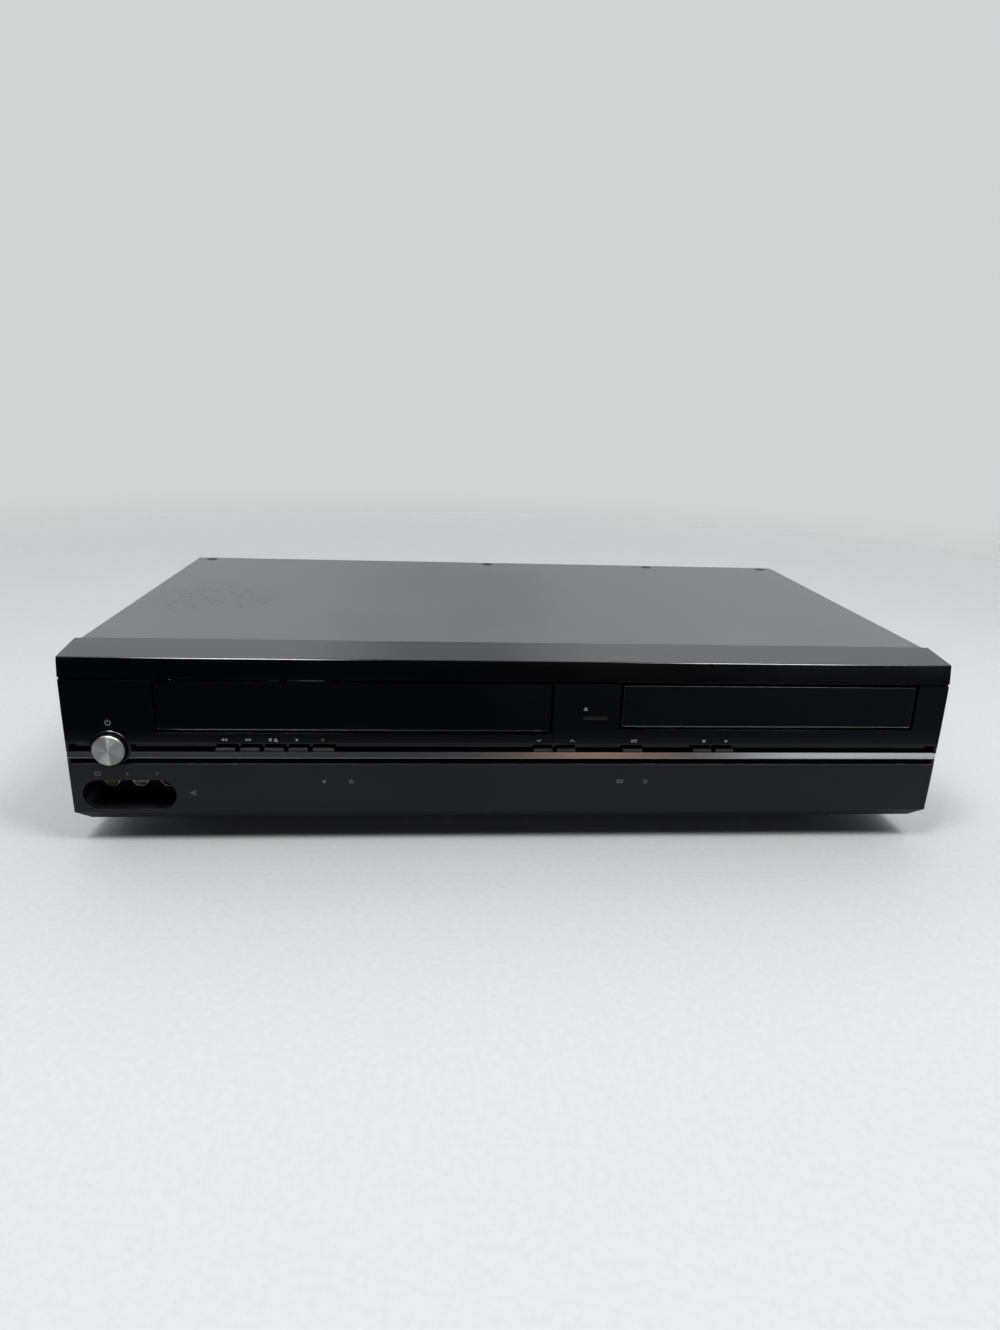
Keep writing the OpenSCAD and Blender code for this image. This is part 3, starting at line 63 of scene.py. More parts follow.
# %% Measure the fascia
CASE_DEPTH = 0.237
DOOR_FOOT_TO_FACE_TOP = 0.0247
HALF_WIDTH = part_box("front_panel")[1].x
DECK_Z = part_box("top_cover")[1].z
EDGE_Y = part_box("top_cover")[1].y - CASE_DEPTH
FACE_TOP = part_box("cassette_door")[0].z + DOOR_FOOT_TO_FACE_TOP
FACE_HEIGHT = 0.0312
FACE_BOTTOM = FACE_TOP - FACE_HEIGHT
ROLL_RADIUS = 0.0012
FACE_OUT = 0.0022
FACE_TOP_OUT = 0.0013
PANEL_OUT, PANEL_LEAN, PANEL_BEVEL = 0.002, 0.0005, 0.0049


def depth(metres):
    """Y of a point that lies this far behind the fascia's top front edge."""
    return EDGE_Y + metres


def face_y(z):
    """Y of the polished face at height z: a straight slope, then a quarter round at its lower edge."""
    z = np.asarray(z, float)
    down = np.clip((FACE_TOP - z) / FACE_HEIGHT, 0, 1)
    slope = -FACE_TOP_OUT - (FACE_OUT - FACE_TOP_OUT) * down
    sine = np.clip((FACE_BOTTOM - z) / ROLL_RADIUS, 0, 1)
    roll = -FACE_OUT + ROLL_RADIUS * (1 - np.sqrt(1 - sine ** 2))
    return depth(np.where(z > FACE_BOTTOM, slope, roll))


def panel_y(z):
    """Y of the lower panel at height z: it stands 2 mm out and leans back by 0.5 mm down to its bevel."""
    foot, top = (corner.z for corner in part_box("lower_panel"))
    down = np.clip((top - np.asarray(z, float)) / (top - foot - PANEL_BEVEL), 0, 1)
    return depth(PANEL_LEAN * down - PANEL_OUT)


print("face from", round(FACE_BOTTOM, 5), "to", round(FACE_TOP, 5), "front edge at", round(EDGE_Y, 5))

# %% [markdown]
# ## The camera
# A camera is a position, three axes and a lens. Here the axes come from a yaw to the right, a pitch
# down and a small roll, so they are written as unit vectors and put into a matrix, which avoids any
# doubt about the order of rotations.

# %% Make the camera
CAMERA_PLACE = Vector((-0.04146, EDGE_Y - 0.38336, DECK_Z + 0.11806))
YAW, PITCH, ROLL = 0.0804, 0.3088, -0.03434
FOCAL_PIXELS, LONG_SIDE_PIXELS = 835.5, 1330
FILM, NEAREST = 36, 10 * MM

forward = Vector((math.sin(YAW) * math.cos(PITCH), math.cos(YAW) * math.cos(PITCH), -math.sin(PITCH)))
level_right = Vector((math.cos(YAW), -math.sin(YAW), 0))
level_down = forward.cross(level_right)
right = math.cos(ROLL) * level_right + math.sin(ROLL) * level_down
down = -math.sin(ROLL) * level_right + math.cos(ROLL) * level_down
camera_data = bpy.data.cameras.new("camera")
camera_data.sensor_width = FILM
camera_data.lens = FILM * FOCAL_PIXELS / LONG_SIDE_PIXELS
camera_data.clip_start = NEAREST
camera = bpy.data.objects.new("camera", camera_data)
axes = Matrix((right, -down, -forward)).transposed().to_4x4()
camera.matrix_world = Matrix.Translation(CAMERA_PLACE) @ axes
bpy.context.scene.collection.objects.link(camera)
bpy.context.scene.camera = camera
print("lens", round(camera_data.lens, 2), "mm")

# %% [markdown]
# ## The tool for materials
# Shader nodes are wired by hand in the editor. In a script one small function can add any node, set
# its properties and link its inputs, and every material below is built with it. Its linking half stands
# on its own, because a material's last links go into the shader that is already there. Colours are
# written as hex values, as on a web page, and turned to linear light in one place.

# %% Node and colour helpers
def linear(hex_colour):
    """Linear RGBA of an sRGB hex colour: values over 0.04045 are ((v + 0.055) / 1.055) to the power 2.4."""
    values = [int(hex_colour[i:i + 2], 16) / 255 for i in (1, 3, 5)]
    return (*[v / 12.92 if v <= 0.04045 else ((v + 0.055) / 1.055) ** 2.4 for v in values], 1)


def connect(tree, node, inputs):
    """Fills a node's inputs: (node, output name) pairs are linked, numbers and colours are set."""
    for key, value in inputs.items():
        if isinstance(value, tuple) and isinstance(value[0], bpy.types.Node):
            tree.links.new(value[0].outputs[value[1]], node.inputs[key])
        else:
            node.inputs[key].default_value = value


def add(tree, kind, inputs=None, stops=(), **settings):
    """Adds one node with its settings and links. Stops are a ramp's (position, hex colour) pairs."""
    node = tree.nodes.new("ShaderNode" + kind)
    for key, value in settings.items():
        setattr(node, key, value)
    connect(tree, node, inputs or {})
    for position, _ in stops[1:-1]:
        node.color_ramp.elements.new(position)
    for i, (position, tone) in enumerate(stops):
        node.color_ramp.elements[i].position = position
        node.color_ramp.elements[i].color = linear(tone)
    return node


def start_material(name, **values):
    """A new material with its tree, its Principled shader and its object coordinates.

    The values go to the shader's own inputs. An underscore in a name stands for a space.
    """
    made = bpy.data.materials.new(name)
    made.use_nodes = True
    tree = made.node_tree
    shader = tree.nodes["Principled BSDF"]
    connect(tree, shader, {key.replace("_", " "): value for key, value in values.items()})
    return made, tree, shader, (add(tree, "TexCoord"), "Object")


def per_metre(millimetres):
    """Scale of a pattern whose features lie this many millimetres apart."""
    return 1 / (millimetres * MM)


# A noise keeps near its middle value, so a ramp between these two factors shows both of its colours.
NOISE_LOW, NOISE_HIGH = 0.35, 0.65
print("helpers ready; a mid grey is", round(linear("#808080")[0], 3), "in linear light")

# %% [markdown]
# ## Cover: satin enamel on sheet steel
# The cover is pressed from 0.8 mm steel and powder coated in dark grey. The powder flows into a skin
# with an orange-peel grain of about a millimetre, which spreads reflections into a soft sheen.
# Years on a shelf add pale dust specks, a few hairline scuffs and a rubbed patch near the left side.
# The grain is real height, so it goes to a Bump node. The rest changes the colour, and broad soft
# blotches also change the roughness a little.

# %% Enamel
RUB_CENTRE = (-0.170, depth(0.110), DECK_Z)
RUB_WHOLE, RUB_GONE = 0.028, 0.050
RUBBED_FROM, RUBBED_FULL = 0.54, 0.60
# A cell of dust is 9 mm wide, and its distance is counted in cells: specks 0.3 to 0.5 mm in radius.
DUST_CORE, DUST_EDGE = 0.03, 0.05
# Scuffs are some 20 mm long across the cover and a millimetre wide.
SCUFFS_PER_METRE = (30, 520, 30)
SCUFF_FROM, SCUFF_FULL = 0.68, 0.74


def satin_enamel():
    """Grey enamel: fine noise as grain, thresholded cells as dust, stretched noise as scuffs, and a patch.

    The patch is a coarser noise past a threshold, times a factor that falls from 1 to 0 with the distance
    from its centre.
    """
    made, tree, shader, place = start_material("satin_enamel", IOR=1.5)
    blotch = add(tree, "TexNoise", {"Vector": place, "Scale": per_metre(70), "Detail": 2.0})
    tone = add(tree, "ValToRGB", {"Fac": (blotch, "Fac")},
               [(NOISE_LOW, "#48494a"), (NOISE_HIGH, "#4e4f50")])
    specks = add(tree, "TexVoronoi", {"Vector": place, "Scale": per_metre(9)})
    dust = add(tree, "MapRange", {"Value": (specks, "Distance"), "From Min": DUST_CORE,
                                  "From Max": DUST_EDGE, "To Min": 0.35, "To Max": 0.0})
    dusty = add(tree, "MixRGB", {"Fac": (dust, "Result"), "Color1": (tone, "Color"),
                                 "Color2": linear("#a9a9a6")})
    along = add(tree, "Mapping", {"Vector": place, "Scale": SCUFFS_PER_METRE})
    fibres = add(tree, "TexNoise", {"Vector": (along, "Vector"), "Scale": 1.6, "Detail": 6.0,
                                    "Roughness": 0.7})
    scuff = add(tree, "MapRange", {"Value": (fibres, "Fac"), "From Min": SCUFF_FROM,
                                   "From Max": SCUFF_FULL, "To Max": 0.10})
    worn = add(tree, "MixRGB", {"Fac": (scuff, "Result"), "Color1": (dusty, "Color"),
                                "Color2": linear("#8c8d90")})
    spot = add(tree, "VectorMath", {0: place, 1: RUB_CENTRE}, operation="DISTANCE")
    patch = add(tree, "MapRange", {"Value": (spot, "Value"), "From Min": RUB_GONE, "From Max": RUB_WHOLE})
    squeezed = add(tree, "Mapping", {"Vector": place, "Scale": (1, 1.6, 1)})
    strokes = add(tree, "TexNoise", {"Vector": (squeezed, "Vector"), "Scale": per_metre(5), "Detail": 5.0,
                                     "Roughness": 0.75, "Distortion": 1.2})
    rubbed = add(tree, "MapRange", {"Value": (strokes, "Fac"), "From Min": RUBBED_FROM,
                                    "From Max": RUBBED_FULL, "To Max": 0.9})
    rub = add(tree, "Math", {0: (patch, "Result"), 1: (rubbed, "Result")}, operation="MULTIPLY")
    marked = add(tree, "MixRGB", {"Fac": (rub, "Value"), "Color1": (worn, "Color"),
                                  "Color2": linear("#232427")})
    gloss = add(tree, "MapRange", {"Value": (blotch, "Fac"), "To Min": 0.38, "To Max": 0.47})
    peel = add(tree, "TexNoise", {"Vector": place, "Scale": per_metre(0.9), "Detail": 3.0})
    bump = add(tree, "Bump", {"Height": (peel, "Fac"), "Strength": 0.25, "Distance": 0.05 * MM})
    connect(tree, shader, {"Base Color": (marked, "Color"), "Roughness": (gloss, "Result"),
                           "Normal": (bump, "Normal")})
    return made


# %% [markdown]
# ## Fascia: polished, satin and smoked plastic
# The fascia is injection moulded ABS. Its face comes from a polished mould and is nearly a mirror, the
# lower panel comes from a spark-eroded mould and scatters light, and the doors carry a smoked acrylic
# skin. No moulding has a truly sharp edge, so a Bevel node rounds the shading of each edge by up to a
# few tenths of a millimetre. The nose over the face is rounded more than the edges of the openings, and
# that rounding draws the thin bright line along it. The same function makes what else is moulded:
# dull rubber for the rollers and feet, and waxy off-white acetal for the reels and gears.

# %% Plastics and rubber
# A wiping cloth leaves streaks some 70 mm long across the object and 11 mm wide.
WIPES_PER_METRE = (14, 90, 90)


def moulded(name, low, high, roughness, grain_mm, grain_height_mm, edge_mm=0.3, wipe=0.03, nose_mm=0.0):
    """A moulding: two near tones, a fine grain, rounded edges, and roughness varied as if wiped.

    With a nose, the rounding grows in a straight line from the top of the face to the deck.
    """
    made, tree, shader, place = start_material(name, IOR=1.5)
    mottle = add(tree, "TexNoise", {"Vector": place, "Scale": per_metre(35), "Detail": 3.0})
    tone = add(tree, "ValToRGB", {"Fac": (mottle, "Fac")}, [(NOISE_LOW, low), (NOISE_HIGH, high)])
    along = add(tree, "Mapping", {"Vector": place, "Scale": WIPES_PER_METRE})
    wiped = add(tree, "TexNoise", {"Vector": (along, "Vector"), "Scale": 1.0, "Detail": 5.0})
    gloss = add(tree, "MapRange", {"Value": (wiped, "Fac"), "To Min": max(roughness - wipe, 0.02),
                                   "To Max": roughness + wipe})
    edge = add(tree, "Bevel", {"Radius": edge_mm * MM}, samples=6)
    if nose_mm:
        height = add(tree, "SeparateXYZ", {"Vector": place})
        rounding = add(tree, "MapRange", {"Value": (height, "Z"), "From Min": FACE_TOP, "From Max": DECK_Z,
                                          "To Min": edge_mm * MM, "To Max": nose_mm * MM})
        connect(tree, edge, {"Radius": (rounding, "Result")})
    grain = add(tree, "TexNoise", {"Vector": place, "Scale": per_metre(grain_mm), "Detail": 2.0})
    bump = add(tree, "Bump", {"Height": (grain, "Fac"), "Normal": (edge, "Normal"), "Strength": 0.3,
                              "Distance": grain_height_mm * MM})
    connect(tree, shader, {"Base Color": (tone, "Color"), "Roughness": (gloss, "Result"),
                           "Normal": (bump, "Normal")})
    return made


# %% [markdown]
# ## Metals
# Bright metal has no colour of its own below the reflection, so it is the roughness and the direction
# of the finish that tell one metal from another. Rolled and plated sheet has faint crystals, a drawn
# strip has lines along its length, and a turned face has rings. Each finish below is one pattern that
# feeds roughness, tone and, where it can be felt, bump.

# %% Metals
def plated(name, low, high, roughness, grain=(1, 1, 1), grain_mm=6.0, edge_mm=0.15):
    """Plated or rolled metal: noise stretched along the rolling direction varies tone and roughness."""
    made, tree, shader, place = start_material(name, Metallic=1.0)
    along = add(tree, "Mapping", {"Vector": place, "Scale": tuple(per_metre(grain_mm) * g for g in grain)})
    streaks = add(tree, "TexNoise", {"Vector": (along, "Vector"), "Scale": 1.0, "Detail": 4.0})
    tone = add(tree, "ValToRGB", {"Fac": (streaks, "Fac")}, [(NOISE_LOW, low), (NOISE_HIGH, high)])
    gloss = add(tree, "MapRange", {"Value": (streaks, "Fac"), "To Min": roughness * 0.75,
                                   "To Max": roughness * 1.25})
    edge = add(tree, "Bevel", {"Radius": edge_mm * MM}, samples=4)
    bump = add(tree, "Bump", {"Height": (streaks, "Fac"), "Normal": (edge, "Normal"), "Strength": 0.1,
                              "Distance": 0.02 * MM})
    connect(tree, shader, {"Base Color": (tone, "Color"), "Roughness": (gloss, "Result"),
                           "Normal": (bump, "Normal")})
    return made


def zinc_sheet():
    """Zinc-plated sheet: crystals a few millimetres wide, each with its own grey and roughness."""
    made, tree, shader, place = start_material("zinc_plated_sheet", Metallic=1.0)
    crystals = add(tree, "TexVoronoi", {"Vector": place, "Scale": per_metre(5)})
    grey = add(tree, "SeparateColor", {"Color": (crystals, "Color")})
    tone = add(tree, "ValToRGB", {"Fac": (grey, "Red")}, [(0.0, "#8f9194"), (1.0, "#9da0a2")])
    gloss = add(tree, "MapRange", {"Value": (grey, "Green"), "To Min": 0.32, "To Max": 0.44})
    connect(tree, shader, {"Base Color": (tone, "Color"), "Roughness": (gloss, "Result")})
    return made


# %% [markdown]
# ## Circuit boards
# The boards inside are phenolic paper and glass epoxy under a lacquer with copper tracks. They show only
# through the openings, yet they still have a pattern of their own.

# %% Boards
def lacquered_board(name, ground, track):
    """A board: cells of 9 by 2.5 mm, each a mix of the ground and the lighter tone of a track."""
    made, tree, shader, place = start_material(name, IOR=1.5)
    cells = add(tree, "TexBrick", {"Vector": place, "Scale": 1.0, "Color1": linear(ground),
                                   "Color2": linear(track), "Mortar": linear(ground),
                                   "Mortar Size": 0.4 * MM, "Brick Width": 9 * MM,
                                   "Row Height": 2.5 * MM})
    dust = add(tree, "TexNoise", {"Vector": place, "Scale": per_metre(12), "Detail": 4.0})
    gloss = add(tree, "MapRange", {"Value": (dust, "Fac"), "To Min": 0.3, "To Max": 0.6})
    connect(tree, shader, {"Base Color": (cells, "Color"), "Roughness": (gloss, "Result")})
    return made


# %% [markdown]
# ## Hand the materials out
# One list pairs each material with the nodes that wear it. A node's mesh stays as it is; only its
# material slot changes. The last lines show that no node was forgotten. The button's cap isn't in the
# list, because a new piece replaces it further down.

# %% Assign materials to the nodes
BUTTONS = [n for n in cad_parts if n.endswith("_button") and n != "open_close_button"]
finishes = [
    (satin_enamel(), ["top_cover"]),
    (moulded("polished_black_abs", "#020305", "#040507", 0.10, 0.5, 0.004, 0.06, wipe=0.05, nose_mm=0.4),
     ["front_panel"]),
    (moulded("satin_black_abs", "#0b0c12", "#0f1017", 0.36, 0.35, 0.03, 0.25), ["lower_panel"]),
    (moulded("smoked_door_skin", "#020305", "#040507", 0.07, 0.6, 0.003, 0.02, 0.03),
     ["cassette_door", "disc_tray_door", "open_close_button"]),
    (moulded("collar_black", "#08080a", "#0b0b0d", 0.3, 0.4, 0.004, 0.06), ["power_collar"]),
    (moulded("button_black", "#090a0c", "#0d0e10", 0.46, 0.4, 0.01, 0.1), BUTTONS),
    (moulded("grained_rear_plastic", "#161719", "#1b1c1e", 0.5, 0.8, 0.05), ["rear_panel"]),
    (moulded("loader_plastic", "#141518", "#1a1b1e", 0.42, 0.6, 0.03),
     ["loader_frame", "disc_tray", "pickup"]),
    (moulded("turntable_rubber", "#1b1b1c", "#242425", 0.8, 0.5, 0.03), ["turntable", "pinch_roller"]),
    (moulded("foot_elastomer", "#101011", "#161617", 0.75, 0.7, 0.04), ["feet"]),
    (moulded("socket_housing", "#111112", "#161617", 0.38, 0.5, 0.02), ["jack_blocks", "key_switches"]),
    (moulded("bush_nylon", "#0f0f10", "#151516", 0.45, 0.5, 0.01), ["cord_bush"]),
    (moulded("waxy_acetal", "#d6d2c6", "#dedacf", 0.34, 0.8, 0.006),
     ["supply_reel", "takeup_reel", "tray_gear", "clamp_puck"]),
    # The yellow, white and red cores are coloured darker than the jacks really are: painted shade of the
    # recess they sit in.
    (moulded("socket_yellow_painted_shade", "#7d7338", "#878042", 0.26, 0.5, 0.004), ["yellow_jack_cores"]),
    (moulded("socket_white_painted_shade", "#9a9995", "#a4a39f", 0.26, 0.5, 0.004), ["white_jack_cores"]),
    (moulded("socket_red_painted_shade", "#4a1216", "#52161a", 0.26, 0.5, 0.004), ["red_jack_cores"]),
    (moulded("socket_green", "#256e35", "#2d7d3f", 0.26, 0.5, 0.004), ["component_jack_cores"]),
    (plated("bright_trim_film", "#b4b5b8", "#c2c3c6", 0.13, (0.05, 1, 1), 0.6, 0.0), ["trim_strip"]),
    (plated("blackened_screw_steel", "#1c1d1f", "#26272a", 0.4), ["case_screws"]),
    (plated("nickel_plate", "#c6c2ba", "#d0ccc4", 0.2), ["jack_shells"]),
    (plated("tin_plate", "#a9abab", "#b8baba", 0.34), ["antenna_block"]),
    (plated("turned_drum_aluminium", "#c3c6c8", "#d2d5d7", 0.2, (1, 1, 8), 2.0),
     ["lower_drum", "upper_drum"]),
    (plated("ground_pin_steel", "#b2b5b7", "#c3c6c8", 0.15, (1, 1, 6), 1.5),
     ["capstan", "supply_guide", "takeup_guide"]),
    (plated("dark_motor_steel", "#4a4d50", "#5a5d60", 0.38), ["capstan_motor", "tape_heads"]),
    (zinc_sheet(), ["bottom_chassis", "deck_plate", "deck_side_plates", "cassette_holder", "pinch_arm",
                    "clamp_bridge", "traverse"]),
    (lacquered_board("phenolic_board", "#4c3a1f", "#5e4a28"), ["key_board", "power_board"]),
    (lacquered_board("glass_epoxy_board", "#174a2a", "#236139"), ["main_board"]),
]
for finish, names in finishes:
    for name in names:
        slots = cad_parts[name].data.materials
        slots.clear()
        slots.append(finish)
bare = set(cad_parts) - {n for _, names in finishes for n in names} - {"power_cap"}
print(len(finishes), "finishes; nodes still bare:", sorted(bare))

# %% [markdown]
# ## Surfaces from numbers
# Every new piece except the printed marks is a grid of points. Rows run along one parameter, columns
# along the other, and the quads between neighbours are worked out for the whole grid at once. A grid
# that meets itself is closed by wrapping its rows or columns, which leaves no seam.

# %% Mesh helpers
def put_mesh(name, points, faces, finish, body, smooth=True):
    """Makes one mesh object from point and face arrays, shades it and lets it ride on its body."""
    mesh = bpy.data.meshes.new(name)
    corners = [np.asarray(face).tolist() for face in faces]
    mesh.from_pydata(np.asarray(points).reshape(-1, 3).tolist(), [], corners)
    mesh.polygons.foreach_set("use_smooth", np.full(len(mesh.polygons), smooth))
    mesh.materials.append(finish)
    mesh.update()
    made = bpy.data.objects.new(name, mesh)
    bpy.context.scene.collection.objects.link(made)
    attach(made, body)
    return made


def grid_faces(rows, columns, wrap_columns=False, wrap_rows=False):
    """Quads of a grid: corner (r, c), its neighbour in c, the diagonal one, its neighbour in r."""
    r = np.arange(rows if wrap_rows else rows - 1)[:, None]
    c = np.arange(columns if wrap_columns else columns - 1)[None, :]
    r2, c2 = (r + 1) % rows, (c + 1) % columns
    quads = np.stack([r * columns + c, r * columns + c2, r2 * columns + c2, r2 * columns + c], -1)
    return quads.reshape(-1, 4)


def end_faces(rows, columns):
    """The two many-sided faces that close the first and the last row of a tube."""
    ring = np.arange(columns)
    return [ring[::-1], ring + (rows - 1) * columns]


def middle(node):
    """The middle of a node's box."""
    low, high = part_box(node)
    return (low + high) / 2


# %% [markdown]
# ## Power button: a spun aluminium disc
# The cap is cut from bar on a lathe. The tool leaves rings much finer than a pixel, and together they
# stretch each reflection across the rings, which shows as two bright fans. Rings that fine can't be
# modelled, so the shader's anisotropy does it: the disc gets a UV map whose U runs round the centre,
# the tangent of that map follows the grooves, and a quarter turn of the anisotropy stretches each
# reflection across them. The shape itself is a profile turned about the button's axis: a straight side,
# a quarter round as its rim, and a face that is a very flat cone.

# %% Spun cap
RIM_ENDS, FACE_STARTS = 0.30, 0.38


def spun_aluminium():
    """Turned metal: strong anisotropy, and rings a fifth of a millimetre apart that vary the roughness.

    The map's V runs from the back of the disc to its centre. The rounded rim, up to RIM_ENDS, is duller.
    """
    made, tree, shader, _ = start_material("spun_aluminium", Metallic=1.0, Anisotropic=0.9,
                                           Anisotropic_Rotation=0.25)
    around = add(tree, "UVMap", uv_map="turning")
    axis = add(tree, "SeparateXYZ", {"Vector": (around, "UV")})
    rings = add(tree, "TexNoise", {"W": (axis, "Y"), "Scale": 60.0, "Detail": 3.0}, noise_dimensions="1D")
    tone = add(tree, "ValToRGB", {"Fac": (rings, "Fac")}, [(NOISE_LOW, "#cfcfcc"), (NOISE_HIGH, "#e2e2de")])
    gloss = add(tree, "MapRange", {"Value": (rings, "Fac"), "To Min": 0.32, "To Max": 0.42})
    rim = add(tree, "MapRange", {"Value": (axis, "Y"), "From Min": RIM_ENDS, "From Max": FACE_STARTS,
                                 "To Min": 0.7, "To Max": 0.0})
    dull = add(tree, "Math", {0: (gloss, "Result"), 1: (rim, "Result")}, operation="MAXIMUM")
    tangent = add(tree, "Tangent", direction_type="UV_MAP", uv_map="turning")
    connect(tree, shader, {"Base Color": (tone, "Color"), "Roughness": (dull, "Value"),
                           "Tangent": (tangent, "Tangent")})
    return made


def turned_y(profile, centre_x, centre_z, steps):
    """Turns a profile of (radius, y) rows about an axis along Y: x = cx + r cos a, z = cz + r sin a."""
    angle = np.linspace(0, 2 * np.pi, steps, endpoint=False)
    radius, y = np.asarray(profile, float).T
    x = centre_x + radius[:, None] * np.cos(angle)
    z = centre_z + radius[:, None] * np.sin(angle)
    return np.stack([x, np.broadcast_to(y[:, None], x.shape), z], -1)


cap_low, cap_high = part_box("power_cap")
cap_x, cap_z = middle("power_cap").x, middle("power_cap").z
cap_r = (cap_high.x - cap_low.x) / 2
RIM, CONE = 0.35 * MM, 0.15 * MM
CAP_STEPS = 96
turn = np.linspace(0, np.pi / 2, 7)[1:]
part = np.linspace(0.93, 0.01, 16)
side_rows = [(cap_r, cap_high.y), (cap_r, cap_low.y + 2 * RIM), (cap_r, cap_low.y + RIM)]
rim_rows = np.stack([cap_r - RIM + RIM * np.cos(turn), cap_low.y + RIM - RIM * np.sin(turn)], -1)
cone_rows = np.stack([cap_r * part, cap_low.y + CONE * (1 - part)], -1)
cap_profile = np.vstack([side_rows, rim_rows, cone_rows])
cap_quads = grid_faces(len(cap_profile), CAP_STEPS, wrap_columns=True)
cap = put_mesh("power_disc", turned_y(cap_profile, cap_x, cap_z, CAP_STEPS),
               cap_quads.tolist() + end_faces(len(cap_profile), CAP_STEPS), spun_aluminium(), "power_key")
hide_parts("power_cap")
print("power disc", len(cap.data.vertices), "points, radius", round(cap_r / MM, 2), "mm")

# %% Map of the cap: U is the step round the axis, V the row of the profile
turning = cap.data.uv_layers.new(name="turning")
point_of_corner = np.zeros(len(cap.data.loops), int)
cap.data.loops.foreach_get("vertex_index", point_of_corner)
column, row = point_of_corner % CAP_STEPS, point_of_corner // CAP_STEPS
# The first step is also the last one, so the steps of a quad are counted on from its own first corner.
quad_corners = cap_quads.size
quad_start = np.repeat(column[:quad_corners].reshape(-1, 4)[:, 0], 4)
steps_on = (column[:quad_corners] - quad_start) % CAP_STEPS
u = np.concatenate([quad_start + steps_on, column[quad_corners:]])
turning.data.foreach_set("uv", np.stack([u / CAP_STEPS, row / len(cap_profile)], -1).ravel())
print("map of", len(point_of_corner), "corners")

# %% [markdown]
# ## Printed marks
# The marks beside the buttons are silk-screened: a layer of ink about a twentieth of a millimetre
# thick. Each is drawn as a flat outline in millimetres and then laid on the surface, so that the ink
# follows the slope of the face and the curve of its rolled edge.

# %% Ink
def ink(name, low, high):
    """Screen ink: a slightly uneven tone, dull against the polished face."""
    made, tree, shader, place = start_material(name, IOR=1.5)
    uneven = add(tree, "TexNoise", {"Vector": place, "Scale": per_metre(0.8), "Detail": 2.0})
    tone = add(tree, "ValToRGB", {"Fac": (uneven, "Fac")}, [(NOISE_LOW, low), (NOISE_HIGH, high)])
    gloss = add(tree, "MapRange", {"Value": (uneven, "Fac"), "To Min": 0.45, "To Max": 0.6})
    connect(tree, shader, {"Base Color": (tone, "Color"), "Roughness": (gloss, "Result")})
    return made


# %% Outlines of the marks, in millimetres about their own centre
def triangle(x, size, way=1):
    """A triangle that points along +X (way 1) or -X (way -1)."""
    back, tip = x - way * size * 0.45, x + way * size * 0.45
    return np.array([(back, -size / 2), (tip, 0), (back, size / 2)])


def bar(x, z, width, height):
    """A rectangle about (x, z)."""
    return np.array([(x - width / 2, z - height / 2), (x + width / 2, z - height / 2),
                     (x + width / 2, z + height / 2), (x - width / 2, z + height / 2)])


def disc(x, z, radius, steps=20):
    """A regular polygon with enough sides to read as a circle."""
    angle = np.linspace(0, 2 * np.pi, steps, endpoint=False)
    return np.stack([x + radius * np.cos(angle), z + radius * np.sin(angle)], -1)


def stroke(points, width):
    """A line of even width as one outline: each point moves to both sides along the mitred normal.

    The mitre of two unit normals is their sum divided by (1 + the cosine of the angle between them).
    """
    points = np.asarray(points, float)
    step = np.diff(points, axis=0)
    step /= np.linalg.norm(step, axis=1, keepdims=True)
    normal = np.stack([-step[:, 1], step[:, 0]], -1)
    summed = np.vstack([normal[:1], normal[:-1] + normal[1:], normal[-1:]])
    cosine = np.concatenate([[0], (normal[:-1] * normal[1:]).sum(1), [0]])[:, None]
    offset = summed / (1 + cosine) * width / 2
    return [np.vstack([points - offset, (points + offset)[::-1]])]


def arc(x, z, radius, start, end, steps=24):
    """Points along a circle between two angles in degrees."""
    angle = np.radians(np.linspace(start, end, steps))
    return np.stack([x + radius * np.cos(angle), z + radius * np.sin(angle)], -1)


def up(outline):
    """An outline after a quarter turn: what pointed along +X points up."""
    return np.stack([-outline[:, 1], outline[:, 0]], -1)


LINE = 0.28


def framed(x, z):
    """The outline of a box, x and z from its middle, that ends just before it would touch its own start."""
    end_z = -z + 0.6 * LINE
    return stroke([(-x - LINE / 2, -z), (x, -z), (x, z), (-x, z), (-x, end_z)], LINE)


# The two ends of a line may not share a wall, so each line that goes round stops just short of its start.
rewind_mark = [triangle(-0.75, 1.5, -1), triangle(0.75, 1.5, -1)]
forward_mark = [triangle(-0.75, 1.5), triangle(0.75, 1.5)]
play_mark = [triangle(0, 1.6)]
stop_mark = [bar(0, 0, 1.4, 1.4)]
eject_mark = [up(triangle(0.3, 1.5)) * (1.25, 1), bar(0, -0.8, 1.9, 0.35)]
stop_eject_mark = [bar(-1.3, 0, 1.4, 1.4)] + [o + (1.3, 0) for o in eject_mark]
down_mark = stroke([(-1, 0.5), (0, -0.5), (1, 0.5)], LINE)
up_mark = stroke([(-1, -0.5), (0, 0.5), (1, -0.5)], LINE)
record_mark = [disc(0, 0, 0.85)]
swap_mark = [bar(-0.3, 0.45, 2.4, LINE), bar(0.3, -0.45, 2.4, LINE), triangle(1.3, 1.0) + (0, 0.45),
             triangle(-1.3, 1.0, -1) + (0, -0.45)]
standby_mark = stroke(arc(0, 0, 1.25, 125, 415), LINE) + [bar(0, 0.85, LINE, 1.5)]
input_mark = stroke(arc(0.6, 0, 1.1, 40, 320), LINE) + [bar(-0.6, 0, 2.2, LINE), triangle(0.8, 1.0)]
clock_mark = stroke(arc(0, 0, 0.95, 92, 450), LINE) + [bar(0, 0.3, LINE, 0.8), bar(0.3, 0, 0.8, LINE)]
tape_mark = framed(1.5, 0.85) + [disc(-0.65, 0, 0.36), disc(0.65, 0, 0.36)]
disc_mark = stroke(arc(0, 0, 1.05, 2, 360), LINE) + [disc(0, 0, 0.3)]
screen_mark = framed(1.2, 0.8)
